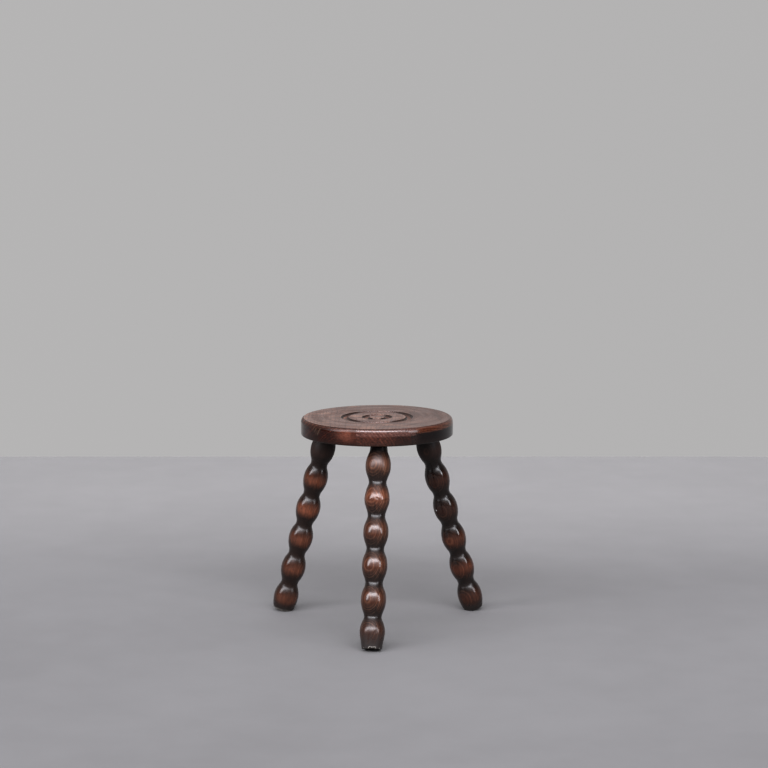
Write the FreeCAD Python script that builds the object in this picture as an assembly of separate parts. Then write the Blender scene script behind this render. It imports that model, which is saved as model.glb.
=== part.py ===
import FreeCAD, Part
import math
import os

# Three-legged bobbin stool: a round seat glued up from three boards, with two
# turned coves on its top, on three splayed bobbin-turned legs. Each leg is held
# by a blind round tenon that a hidden wedge spreads in its socket.
# Millimetres. The origin is on the floor under the middle of the seat, +Z is up,
# the front leg points to -Y and +X is to the right of the front leg.

# ---- seat ----
SEAT_R = 150.0          # seat radius
SEAT_TOP = 417.4        # height of the seat's top face
SEAT_T = 33.8           # seat thickness
EDGE_STEP = 0.9         # small step where the flat top meets the rounded edge
EDGE_R = 7.0            # rounding of the top edge
UNDER_R = 2.4           # rounding of the bottom edge
COVE_DEPTH = 3.6        # depth of both ring grooves
COVE_1 = (15.5, 30.0)   # inner ring groove, from and to this radius
COVE_2 = (57.0, 71.0)   # outer ring groove
JOINT_X = (-40.0, 66.0) # glue lines between the three boards, the grain runs along Y
GLUE_GAP = 0.02         # thickness of a glue line

# ---- dowels in the glue lines ----
DOWEL_R = 4.0
DOWEL_HOLE_R = 4.05
DOWEL_L = 38.0
DOWEL_HOLE_L = 40.0
DOWEL_Z = SEAT_TOP - SEAT_T / 2 - 1.0
DOWEL_Y_LEFT = (-75.0, 75.0)
DOWEL_Y_RIGHT = (-75.0, 100.0)

# ---- legs: all turned to one pattern ----
UNDERSIDE = SEAT_TOP - SEAT_T
FIRST_NECK = 10.24      # along the leg, from the seat's underside
PITCH = 65.473          # neck to neck
BOBBINS = 6
NECK_R = 16.82
BULGE_R = 24.27
BULGE_AT = 31.1         # widest place, below the neck above it
NECK_BELOW = 12.0       # hollow of the turning just under a neck
BULGE_LOWER = 59.1      # profile radius of a bobbin's lower half at its widest place
FOOT_PROFILE_R = 79.0   # the last bobbin's lower half is fuller
FOOT_CHAMFER = 1.2      # eased edge of the sawn end
FOOT_WEAR = 1.2         # how far the inner edge of the foot is worn down to the floor

TENON_R = 15.95
SOCKET_R = 16.0
TENON_L = 21.0
SOCKET_DEPTH = 22.0
TENON_CHAMFER = 1.0
TENON_ENDS = 5.2        # the straight tenon runs this far out of the seat

KERF_TOP = 2.6          # width of the wedged cut at the tenon's end
KERF_BOTTOM = 0.8
KERF_DEPTH = 15.0
WEDGE_GAP = 0.03

# socket radius from the seat's middle, socket azimuth, splay, turn of the splay
# out of the radial direction (degrees)
LEGS = {
    "left_leg": (112.78, 151.19, 15.87, -0.81),
    "front_leg": (111.52, -87.83, 17.15, -9.00),
    "right_leg": (109.21, 31.22, 17.34, -2.10),
}

V = FreeCAD.Vector
parts = {}


def face_of(edges):
    return Part.Face(Part.Wire(Part.__sortEdges__(edges)))


def line(a, b):
    return Part.LineSegment(V(a[0], 0, a[1]), V(b[0], 0, b[1])).toShape()


def arc(a, m, b):
    return Part.Arc(V(a[0], 0, a[1]), V(m[0], 0, m[1]), V(b[0], 0, b[1])).toShape()


def centre_arc(c, r, t0, t1):
    """Arc about c from angle t0 to t1, in degrees."""
    at = lambda t: (c[0] + r * math.cos(math.radians(t)), c[1] + r * math.sin(math.radians(t)))
    return arc(at(t0), at((t0 + t1) / 2), at(t1))


# ---------------------------------------------------------------- seat blank
def cove(r0, r1):
    """Hollow between two radii, cut as one round arc below the top face."""
    mid = (r0 + r1) / 2
    return arc((r0, SEAT_TOP), (mid, SEAT_TOP - COVE_DEPTH), (r1, SEAT_TOP))


def seat_blank():
    flat_to = SEAT_R - EDGE_R
    round_top = SEAT_TOP - EDGE_STEP
    edges = [
        line((0, UNDERSIDE), (0, SEAT_TOP)),
        line((0, SEAT_TOP), (COVE_1[0], SEAT_TOP)),
        cove(*COVE_1),
        line((COVE_1[1], SEAT_TOP), (COVE_2[0], SEAT_TOP)),
        cove(*COVE_2),
        line((COVE_2[1], SEAT_TOP), (flat_to, SEAT_TOP)),
        line((flat_to, SEAT_TOP), (flat_to, round_top)),
        centre_arc((flat_to, round_top - EDGE_R), EDGE_R, 90, 0),
        line((SEAT_R, round_top - EDGE_R), (SEAT_R, UNDERSIDE + UNDER_R)),
        centre_arc((SEAT_R - UNDER_R, UNDERSIDE + UNDER_R), UNDER_R, 0, -90),
        line((SEAT_R - UNDER_R, UNDERSIDE), (0, UNDERSIDE)),
    ]
    return face_of(edges).revolve(V(0, 0, 0), V(0, 0, 1), 360)


# ---------------------------------------------------------------- leg
def s_curve(s1, r1, s2, r2, first):
    """Two tangent arcs from one axial tangent to the next. first is the radius of the arc at s1."""
    d, h = s2 - s1, r2 - r1
    total = (d * d + h * h) / (2 * abs(h))
    last = total - first
    th = math.asin(d / total)
    sg = 1 if h > 0 else -1
    a = lambda t: (r1 + sg * first * (1 - math.cos(t)), -(s1 + first * math.sin(t)))
    b = lambda t: (r2 - sg * last * (1 - math.cos(t)), -(s2 - last * math.sin(t)))
    return [arc(a(0), a(th / 2), a(th)), arc(b(th), b(th / 2), b(0))]


def foot_radius(s, bulge_s):
    return BULGE_R - (FOOT_PROFILE_R - math.sqrt(FOOT_PROFILE_R**2 - (s - bulge_s) ** 2))


def leg_blank(length):
    """A turned leg on the local Z axis, with the seat's underside at local z = 0 and the tenon above it."""
    t = TENON_L
    edges = [
        line((0, t), (TENON_R - TENON_CHAMFER, t)),
        line((TENON_R - TENON_CHAMFER, t), (TENON_R, t - TENON_CHAMFER)),
        line((TENON_R, t - TENON_CHAMFER), (TENON_R, -TENON_ENDS)),
    ]
    h = NECK_R - TENON_R
    d = FIRST_NECK - TENON_ENDS
    edges += s_curve(TENON_ENDS, TENON_R, FIRST_NECK, NECK_R, (d * d + h * h) / (4 * h))
    for i in range(BOBBINS):
        neck = FIRST_NECK + i * PITCH
        bulge = neck + BULGE_AT
        edges += s_curve(neck, NECK_R, bulge, BULGE_R, NECK_BELOW)
        if i < BOBBINS - 1:
            edges += s_curve(bulge, BULGE_R, neck + PITCH, NECK_R, BULGE_LOWER)
        else:
            end = length - FOOT_CHAMFER
            mid = (bulge + end) / 2
            edges.append(
                arc(
                    (BULGE_R, -bulge),
                    (foot_radius(mid, bulge), -mid),
                    (foot_radius(end, bulge), -end),
                )
            )
            r_end = foot_radius(end, bulge)
            edges.append(line((r_end, -end), (r_end - FOOT_CHAMFER, -length)))
            edges.append(line((r_end - FOOT_CHAMFER, -length), (0, -length)))
    edges.append(line((0, -length), (0, t)))
    return face_of(edges).revolve(V(0, 0, 0), V(0, 0, 1), 360)


def placement(radius, azimuth, splay, turn):
    a, s, w = math.radians(azimuth), math.radians(splay), math.radians(azimuth + turn)
    up = V(-math.cos(w) * math.sin(s), -math.sin(w) * math.sin(s), math.cos(s))
    x = V(1, 0, 0)
    x = x - up * x.dot(up)
    x.normalize()
    y = up.cross(x)
    m = FreeCAD.Matrix(
        x.x, y.x, up.x, radius * math.cos(a),
        x.y, y.y, up.y, radius * math.sin(a),
        x.z, y.z, up.z, UNDERSIDE,
        0, 0, 0, 1,
    )
    return FreeCAD.Placement(m)


def leg_length(splay):
    """Length that puts the inner edge of the sawn end FOOT_WEAR below the floor, before it is worn flat."""
    s = math.radians(splay)
    bulge = FIRST_NECK + (BOBBINS - 1) * PITCH + BULGE_AT
    length = 395.0
    for _ in range(30):
        r_end = foot_radius(length - FOOT_CHAMFER, bulge)
        low = UNDERSIDE - (length - FOOT_CHAMFER) * math.cos(s) - r_end * math.sin(s)
        low = min(low, UNDERSIDE - length * math.cos(s) - (r_end - FOOT_CHAMFER) * math.sin(s))
        length += (low + FOOT_WEAR) / math.cos(s)
    return length


def wedge_prism(top, bottom, depth, half_width):
    """A wedge along local X, pointing down, its thick end at local z = 0."""
    wire = Part.makePolygon([
        V(-half_width, -top / 2, 0), V(-half_width, top / 2, 0),
        V(-half_width, bottom / 2, -depth), V(-half_width, -bottom / 2, -depth),
        V(-half_width, -top / 2, 0),
    ])
    return Part.Face(wire).extrude(V(2 * half_width, 0, 0))


below_floor = Part.makeBox(800, 800, 100, V(-400, -400, -100))
sockets = []
for name, spec in LEGS.items():
    place = placement(*spec)
    length = leg_length(spec[2])
    leg = leg_blank(length)
    kerf = wedge_prism(KERF_TOP, KERF_BOTTOM, KERF_DEPTH, 30)
    kerf.translate(V(0, 0, TENON_L))
    leg = leg.cut(kerf)
    leg.Placement = place
    leg = leg.cut(below_floor)
    parts[name] = leg

    # the wedge is trimmed to the tenon's round and stands up to the bottom of the socket
    over = SOCKET_DEPTH - TENON_L - 0.1
    slope = (KERF_TOP - KERF_BOTTOM) / KERF_DEPTH
    wedge = wedge_prism(
        KERF_TOP - 2 * WEDGE_GAP + slope * over,
        KERF_BOTTOM - 2 * WEDGE_GAP + slope * 0.4,
        KERF_DEPTH - 0.4 + over,
        30,
    )
    wedge.translate(V(0, 0, TENON_L + over))
    wedge = wedge.common(Part.makeCylinder(TENON_R - 0.4, 60, V(0, 0, -20)))
    wedge.Placement = place
    parts[name + "_wedge"] = wedge

    socket = Part.makeCylinder(SOCKET_R, SOCKET_DEPTH + 40, V(0, 0, -40))
    socket.Placement = place
    sockets.append(socket)
    print(name, "length", round(length, 2))

# ---------------------------------------------------------------- seat boards and dowels
blank = seat_blank()
for socket in sockets:
    blank = blank.cut(socket)

holes = []
for side, x, ys in (("left", JOINT_X[0], DOWEL_Y_LEFT), ("right", JOINT_X[1], DOWEL_Y_RIGHT)):
    for where, y in zip(("front", "rear"), ys):
        holes.append(
            Part.makeCylinder(DOWEL_HOLE_R, DOWEL_HOLE_L, V(x - DOWEL_HOLE_L / 2, y, DOWEL_Z), V(1, 0, 0))
        )
        dowel = Part.makeCylinder(DOWEL_R, DOWEL_L, V(x - DOWEL_L / 2, y, DOWEL_Z), V(1, 0, 0))
        ends = [e for e in dowel.Edges if isinstance(e.Curve, Part.Circle)]
        parts["seat_dowel_%s_%s" % (side, where)] = dowel.makeChamfer(0.8, ends)
for hole in holes:
    blank = blank.cut(hole)

g = GLUE_GAP / 2
bounds = (
    ("seat_board_left", -200.0, JOINT_X[0] - g),
    ("seat_board_middle", JOINT_X[0] + g, JOINT_X[1] - g),
    ("seat_board_right", JOINT_X[1] + g, 200.0),
)
for name, x0, x1 in bounds:
    parts[name] = blank.common(Part.makeBox(x1 - x0, 400, 100, V(x0, -200, UNDERSIDE - 20)))

os.makedirs("parts", exist_ok=True)
for name, shape in parts.items():
    solids = shape.Solids
    if len(solids) != 1 or not solids[0].isValid():
        raise RuntimeError("%s has %d solids" % (name, len(solids)))
    solid = solids[0]
    solid.exportStep("parts/%s.step" % name)
    b = solid.BoundBox
    print("%-22s %9.0f mm3  x %.1f..%.1f  y %.1f..%.1f  z %.1f..%.1f" % (
        name, solid.Volume, b.XMin, b.XMax, b.YMin, b.YMax, b.ZMin, b.ZMax))
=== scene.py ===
import math

import bpy
import numpy as np
from mathutils import Matrix, Vector


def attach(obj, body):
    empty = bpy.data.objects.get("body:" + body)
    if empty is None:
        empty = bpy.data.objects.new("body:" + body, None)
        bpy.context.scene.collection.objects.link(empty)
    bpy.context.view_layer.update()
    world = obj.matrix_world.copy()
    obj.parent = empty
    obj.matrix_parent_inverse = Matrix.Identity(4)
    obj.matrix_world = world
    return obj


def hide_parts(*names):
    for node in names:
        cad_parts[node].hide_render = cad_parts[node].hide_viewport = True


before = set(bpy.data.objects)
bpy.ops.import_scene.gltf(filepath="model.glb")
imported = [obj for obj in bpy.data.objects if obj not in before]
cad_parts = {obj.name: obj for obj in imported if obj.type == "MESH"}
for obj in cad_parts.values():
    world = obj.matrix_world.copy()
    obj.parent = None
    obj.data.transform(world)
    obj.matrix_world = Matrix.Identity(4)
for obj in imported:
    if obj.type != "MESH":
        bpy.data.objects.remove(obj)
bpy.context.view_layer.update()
scene = bpy.context.scene

# ------------------------------------------------------------------ sizes, in millimetres, as in the construction
SEAT_R, SEAT_TOP, SEAT_T = 150.0, 417.4, 33.8
UNDERSIDE = SEAT_TOP - SEAT_T
EDGE_STEP = 0.9
COVE_DEPTH, COVE_1, COVE_2 = 3.6, (15.5, 30.0), (57.0, 71.0)
JOINT_X, GLUE_GAP = (-40.0, 66.0), 0.02
DOWEL_HOLE_R, DOWEL_HOLE_L = 4.05, 40.0
DOWEL_Z = SEAT_TOP - SEAT_T / 2 - 1.0
DOWELS = [(JOINT_X[0], -75.0), (JOINT_X[0], 75.0), (JOINT_X[1], -75.0), (JOINT_X[1], 100.0)]

FIRST_NECK, PITCH, BOBBINS = 10.24, 65.473, 6
NECK_R, BULGE_R, BULGE_AT = 16.82, 24.27, 31.1
NECK_BELOW, BULGE_LOWER, FOOT_PROFILE_R = 14.0, 58.0, 79.0
FOOT_CHAMFER, FOOT_WEAR = 1.2, 1.2
TENON_R, SOCKET_R, TENON_L, SOCKET_DEPTH = 15.95, 16.0, 21.0, 22.0
TENON_CHAMFER, TENON_ENDS = 1.0, 5.2
KERF_TOP, KERF_BOTTOM, KERF_DEPTH = 2.6, 0.8, 15.0
LEGS = {
    "left_leg": (112.78, 151.19, 15.87, -0.81),
    "front_leg": (111.52, -87.83, 17.15, -9.00),
    "right_leg": (109.21, 31.22, 17.34, -2.10),
}


# ------------------------------------------------------------------ small tools
def lattice(ix, iy, iz, seed):
    h = (ix * 374761393 + iy * 668265263 + iz * 2147483647 + seed * 1274126177) & 0xFFFFFFFF
    h = ((h ^ (h >> 13)) * 1274126177) & 0xFFFFFFFF
    h = ((h ^ (h >> 16)) * 2246822519) & 0xFFFFFFFF
    return ((h ^ (h >> 15)) & 0xFFFFFF) / float(0x7FFFFF) - 1.0


def vnoise(p, seed):
    """Smooth value noise of points p (N, 3), about -1 to 1."""
    f = np.floor(p)
    i = f.astype(np.int64)
    t = p - f
    t = t * t * t * (t * (t * 6 - 15) + 10)
    out = 0.0
    for dx in (0, 1):
        wx = t[:, 0] if dx else 1 - t[:, 0]
        for dy in (0, 1):
            wy = t[:, 1] if dy else 1 - t[:, 1]
            for dz in (0, 1):
                wz = t[:, 2] if dz else 1 - t[:, 2]
                out = out + wx * wy * wz * lattice(i[:, 0] + dx, i[:, 1] + dy, i[:, 2] + dz, seed)
    return out


def fbm(p, seed, octaves=3):
    out, amp = 0.0, 1.0
    for k in range(octaves):
        out = out + amp * vnoise(p * 2.0**k, seed + 17 * k)
        amp *= 0.5
    return out / 1.6


def smooth(a, b, x):
    t = np.clip((x - a) / (b - a), 0.0, 1.0)
    return t * t * (3 - 2 * t)


def make_mesh(name, verts_mm, quads, tris):
    me = bpy.data.meshes.new(name)
    me.vertices.add(len(verts_mm))
    me.vertices.foreach_set("co", (np.asarray(verts_mm) * 0.001).astype(np.float32).ravel())
    quads = np.asarray(quads, np.int32).reshape(-1, 4)
    tris = np.asarray(tris, np.int32).reshape(-1, 3)
    me.loops.add(quads.size + tris.size)
    me.loops.foreach_set("vertex_index", np.concatenate([quads.ravel(), tris.ravel()]))
    starts = np.concatenate([np.arange(len(quads)) * 4, quads.size + np.arange(len(tris)) * 3])
    me.polygons.add(len(starts))
    me.polygons.foreach_set("loop_start", starts.astype(np.int32))
    me.update(calc_edges=True)
    me.validate()
    return me


def add_object(name, me):
    o = bpy.data.objects.new(name, me)
    scene.collection.objects.link(o)
    return o


def coords(me):
    co = np.zeros(len(me.vertices) * 3, np.float32)
    me.vertices.foreach_get("co", co)
    return co.reshape(-1, 3).astype(float) * 1000.0


def put(me, name, values):
    values = np.asarray(values, np.float32)
    kind = "FLOAT_VECTOR" if values.ndim == 2 else "FLOAT"
    a = me.attributes.new(name, kind, "POINT")
    a.data.foreach_set("vector" if values.ndim == 2 else "value", values.ravel())


def boolean(obj, cutter, op):
    m = obj.modifiers.new("cut", "BOOLEAN")
    m.operation, m.object, m.solver = op, cutter, "MANIFOLD"
    bpy.context.view_layer.update()
    made = bpy.data.meshes.new_from_object(obj.evaluated_get(bpy.context.evaluated_depsgraph_get()))
    obj.modifiers.clear()
    old = obj.data
    obj.data = made
    bpy.data.meshes.remove(old)
    me = cutter.data
    bpy.data.objects.remove(cutter)
    bpy.data.meshes.remove(me)
    if not len(made.polygons):
        raise RuntimeError("nothing was left of %s" % obj.name)


def grid_faces(rows, cols):
    """Quads of a grid of rows of points that closes on itself round each row."""
    i = np.arange(rows - 1)[:, None] * cols
    j = np.arange(cols)[None, :]
    k = (j + 1) % cols
    return np.stack([i + j, i + k, i + cols + k, i + cols + j], -1).reshape(-1, 4)


def prism(name, matrix, section, z0, z1):
    """A straight bar: a 2-D section in local x and y, from local z0 to z1, placed by a 4x4 matrix."""
    n = len(section)
    s = np.asarray(section, float)
    v = np.concatenate([np.c_[s, np.full(n, z0)], np.c_[s, np.full(n, z1)]])
    v = v @ matrix[:3, :3].T + matrix[:3, 3]
    me = bpy.data.meshes.new(name)
    faces = [list(range(n))[::-1], list(range(n, 2 * n))]
    faces += [[k, (k + 1) % n, n + (k + 1) % n, n + k] for k in range(n)]
    me.from_pydata((v * 0.001).tolist(), [], faces)
    me.update()
    return add_object(name, me)


def circle(r, n):
    t = np.arange(n) / n * 2 * math.pi
    return np.c_[r * np.cos(t), r * np.sin(t)]


def leg_matrix(spec):
    radius, azimuth, splay, turn = spec
    a, s, w = math.radians(azimuth), math.radians(splay), math.radians(azimuth + turn)
    up = np.array([-math.cos(w) * math.sin(s), -math.sin(w) * math.sin(s), math.cos(s)])
    x = np.array([1.0, 0, 0])
    x = x - up * (x @ up)
    x /= np.linalg.norm(x)
    y = np.cross(up, x)
    m = np.eye(4)
    m[:3, 0], m[:3, 1], m[:3, 2] = x, y, up
    m[:3, 3] = (radius * math.cos(a), radius * math.sin(a), UNDERSIDE)
    return m


# ------------------------------------------------------------------ legs
def s_part(s, s1, r1, s2, r2, first):
    d, h = s2 - s1, r2 - r1
    total = (d * d + h * h) / (2 * abs(h))
    last, sg = total - first, (1 if h > 0 else -1)
    brk = s1 + first * d / total
    a = r1 + sg * (first - np.sqrt(np.maximum(first**2 - (s - s1) ** 2, 0)))
    b = r2 - sg * (last - np.sqrt(np.maximum(last**2 - (s2 - s) ** 2, 0)))
    return np.where(s < brk, a, b)


def sloped(slopes, r0, r1, r2):
    """Radius along a bobbin from its upper neck, from (mm below the neck, slope in degrees); r2 None for a foot."""
    s = np.linspace(0.0, 80.0, 1601)
    a = np.interp(s, [p[0] for p in slopes], [p[1] for p in slopes])
    k = np.exp(-0.5 * (np.arange(-60, 61) / 22.0) ** 2)
    a = np.convolve(np.pad(a, 60, mode="edge"), k / k.sum(), "valid")
    step = np.tan(np.radians(a)) * (s[1] - s[0])
    wide = int(np.argmax(np.cumsum(step)))
    step[: wide + 1] *= (r1 - r0) / step[: wide + 1].sum()
    if r2 is not None:
        end = int(PITCH / (s[1] - s[0]))
        step[wide + 1: end] *= (r1 - r2) / -step[wide + 1: end].sum()
    return s, r0 + np.cumsum(step)


def foot_radius(s):
    bulge = FIRST_NECK + (BOBBINS - 1) * PITCH + BULGE_AT
    return BULGE_R - (FOOT_PROFILE_R - np.sqrt(FOOT_PROFILE_R**2 - (s - bulge) ** 2))


def leg_radius(s):
    """Radius of the turning at s below the seat's underside, without the eased end."""
    s = np.asarray(s, float)
    r = np.full(s.shape, TENON_R)
    h, d = NECK_R - TENON_R, FIRST_NECK - TENON_ENDS
    m = (s > TENON_ENDS) & (s <= FIRST_NECK)
    r[m] = s_part(s[m], TENON_ENDS, TENON_R, FIRST_NECK, NECK_R, (d * d + h * h) / (4 * h))
    for i in range(BOBBINS):
        neck = FIRST_NECK + i * PITCH
        bulge = neck + BULGE_AT
        m = (s > neck) & (s <= bulge)
        r[m] = s_part(s[m], neck, NECK_R, bulge, BULGE_R, NECK_BELOW)
        if i < BOBBINS - 1:
            m = (s > bulge) & (s <= neck + PITCH)
            r[m] = s_part(s[m], bulge, BULGE_R, neck + PITCH, NECK_R, BULGE_LOWER)
        else:
            m = s > bulge
            r[m] = foot_radius(s[m])
    return r


def leg_length(splay):
    s = math.radians(splay)
    length = 395.0
    for _ in range(30):
        r_end = float(foot_radius(np.array(length - FOOT_CHAMFER)))
        low = UNDERSIDE - (length - FOOT_CHAMFER) * math.cos(s) - r_end * math.sin(s)
        low = min(low, UNDERSIDE - length * math.cos(s) - (r_end - FOOT_CHAMFER) * math.sin(s))
        length += (low + FOOT_WEAR) / math.cos(s)
    return length


# for each leg: seed, direction that its growth rings face (azimuth in the leg's own x and y), pith distance, ring
# spacing, how far each bobbin is rubbed (low on the rear legs' first bobbins, a painted shadow of the seat), tint, each
# bobbin's own turning as (radius, how far its widest place sits lower), in mm, taper at the foot, and knocks on the
# foot's edge as (azimuth, half width in degrees, size in mm);
# own gives the slopes of a bobbin that was turned differently, as (mm below its upper neck, degrees)
# higher gives how far the bobbins sit above their even spacing, as (mm down the leg, mm),
# and worn gives places rubbed flatter, as (bobbin, azimuth, half width in degrees, depth, mm below its upper neck, half length)
FRONT_SLOPES = ((0, 0), (3.9, 14), (7.9, 20), (11, 24.5), (15.8, 18), (19.7, 13.5), (23.7, 8.5), (27.6, 4.2), (31, 2.2), (34, 0), (36.5, -4), (40.4, -9), (44.4, -12),
                (48.3, -16.5), (52.3, -19), (56.2, -21), (60.2, -18), (63.5, -9), (65.5, 0))
LEG_WOOD = {
    "front_leg": dict(through=0.33, seed=11, necks=(0.22, 0.12, 0.20, 0.16, 0.10), face=-119.0, pith=62.0, spacing=1.9, wobble=0.45, streaks=0.45, drips=0.34, rubbed_and_shadowed=(0.80, 1.08, 0.48, 0.57, 0.52, 0.29), tint=(0.97, 1.05, 1.14), figure=0.90, spread=(-0.4, 0.9, 0.40), upper=(0.05, 0.44), lower=(0.89, 0.48), front=-92.0, skew=0.0, dull=0.125, cap=0.02, groove=0.12,
                      dark=((0.0070, 0.0045, 0.0038), (0.0140, 0.0075, 0.0058)),
                      vary=((0.30, 0), (0.30, 0), (0.15, 0), (0.20, 0), (0.10, 0), (0.0, 0)), taper=0.0,
                      own={0: ((0, 0), (4, 9.5), (6.5, 18), (9.5, 24.5), (12.5, 21.5), (17, 17), (21, 13.5), (25, 9.5), (29, 4.0), (32.5, 0), (37, -4), (41, -8), (45, -14), (49, -20), (56, -20.5), (60, -18.5), (63, -10), (65.5, 0)),
                           1: ((0, 2), (3, 11), (5.5, 18.5), (8, 24), (10.5, 22), (13.5, 16), (18.5, 13.3), (22.5, 10.5), (26.5, 7.5), (30.5, 4.5), (34, 0), (37, -7), (40.5, -13), (44, -19.5), (50, -20), (56, -19.5), (60, -14), (65.5, 0)),
                           2: FRONT_SLOPES, 3: FRONT_SLOPES, 4: FRONT_SLOPES,
                           5: ((0, 3), (2, 13), (5, 22), (7.5, 27.5), (10, 23.5), (13, 19), (17, 16.5), (20, 12), (22.5, 6.5), (26, 4), (28.5, 0), (31, -5), (35, -7.5), (40, -9.5), (44, -11), (50, -10.5), (60, -10))},
                      worn=((0, -90.0, 45.0, 0.25, 15.0, 10.0), (1, -88.0, 45.0, 0.65, 15.0, 10.0), (5, -92.0, 45.0, 0.5, 12.0, 9.0)),
                      higher=((120, 0), (141, 0.1), (172, 1.4), (207, 2.3), (238, 2.2), (272, 2.1), (303, 2.1), (338, 1.8), (368, 2.2), (395, 2.4)),
                      bare=1.0, undercut=1.1, raw=1.0,
                      chips=[(-89, 32, 4.2), (-35, 12, 1.8), (60, 18, 2.2), (150, 14, 1.6), (-140, 10, 2.0)]),
    "left_leg": dict(through=0.05, seed=23, necks=(-0.10, -0.45, -0.40, -0.40, 0.10), face=-20.0, pith=70.0, spacing=2.1, wobble=1.0, streaks=0.55, drips=0.14, rubbed_and_shadowed=(0.10, 1.09, 1.07, 0.64, 0.56, 0.49), tint=(1.60, 1.60, 1.62), figure=0.28, spread=(0.0, 1.0, 0.24), upper=(0.08, 0.56), lower=(0.76, 0.37), front=-86.0, skew=0.0, dull=0.13, cap=0.09, groove=0.08,
                     dark=((0.0100, 0.0055, 0.0042), (0.0190, 0.0095, 0.0070)),
                     vary=((0.1, 0.5), (-0.1, -1.6), (-0.1, -2.0), (-0.1, -1.6), (0.0, 0.0), (0.25, -1.0)), own={}, worn=(), higher=((0, 0),), taper=0.0, bare=0.75, undercut=0.55, raw=0.42,
                     chips=[(-80, 98, 4.2), (-160, 12, 4.6), (-70, 14, 5.0), (110, 12, 1.8)]),
    "right_leg": dict(through=0.15, seed=37, necks=(0.15, 0.0, 0.20, 0.05, 0.20), face=-112.0, pith=58.0, spacing=1.9, wobble=0.6, streaks=0.6, drips=0.30, rubbed_and_shadowed=(0.24, 0.34, 0.18, 0.50, 0.60, 0.31), tint=(0.98, 0.88, 0.85), figure=0.46, spread=(-0.4, 0.9, 0.40), upper=(0.12, 0.50), lower=(0.86, 0.44), front=-78.0, skew=0.05, dull=0.11, cap=0.03, groove=0.12, specks=((168.4, -139.0, 2.2, 1.5),),
                      dark=((0.0055, 0.0040, 0.0035), (0.0120, 0.0070, 0.0056)),
                      vary=((0.15, 0.2), (0.2, 0.3), (0.4, 0.3), (0.3, 0.0), (0.25, 0.4), (0.3, -0.5)), own={}, worn=(), higher=((0, 0),), taper=0.0, bare=0.25, undercut=0.55, raw=0.42,
                      chips=[(-60, 16, 1.4), (-95, 14, 1.0), (-10, 14, 1.8), (80, 20, 1.8), (170, 16, 2.0)]),
}
COLS = 224


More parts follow.
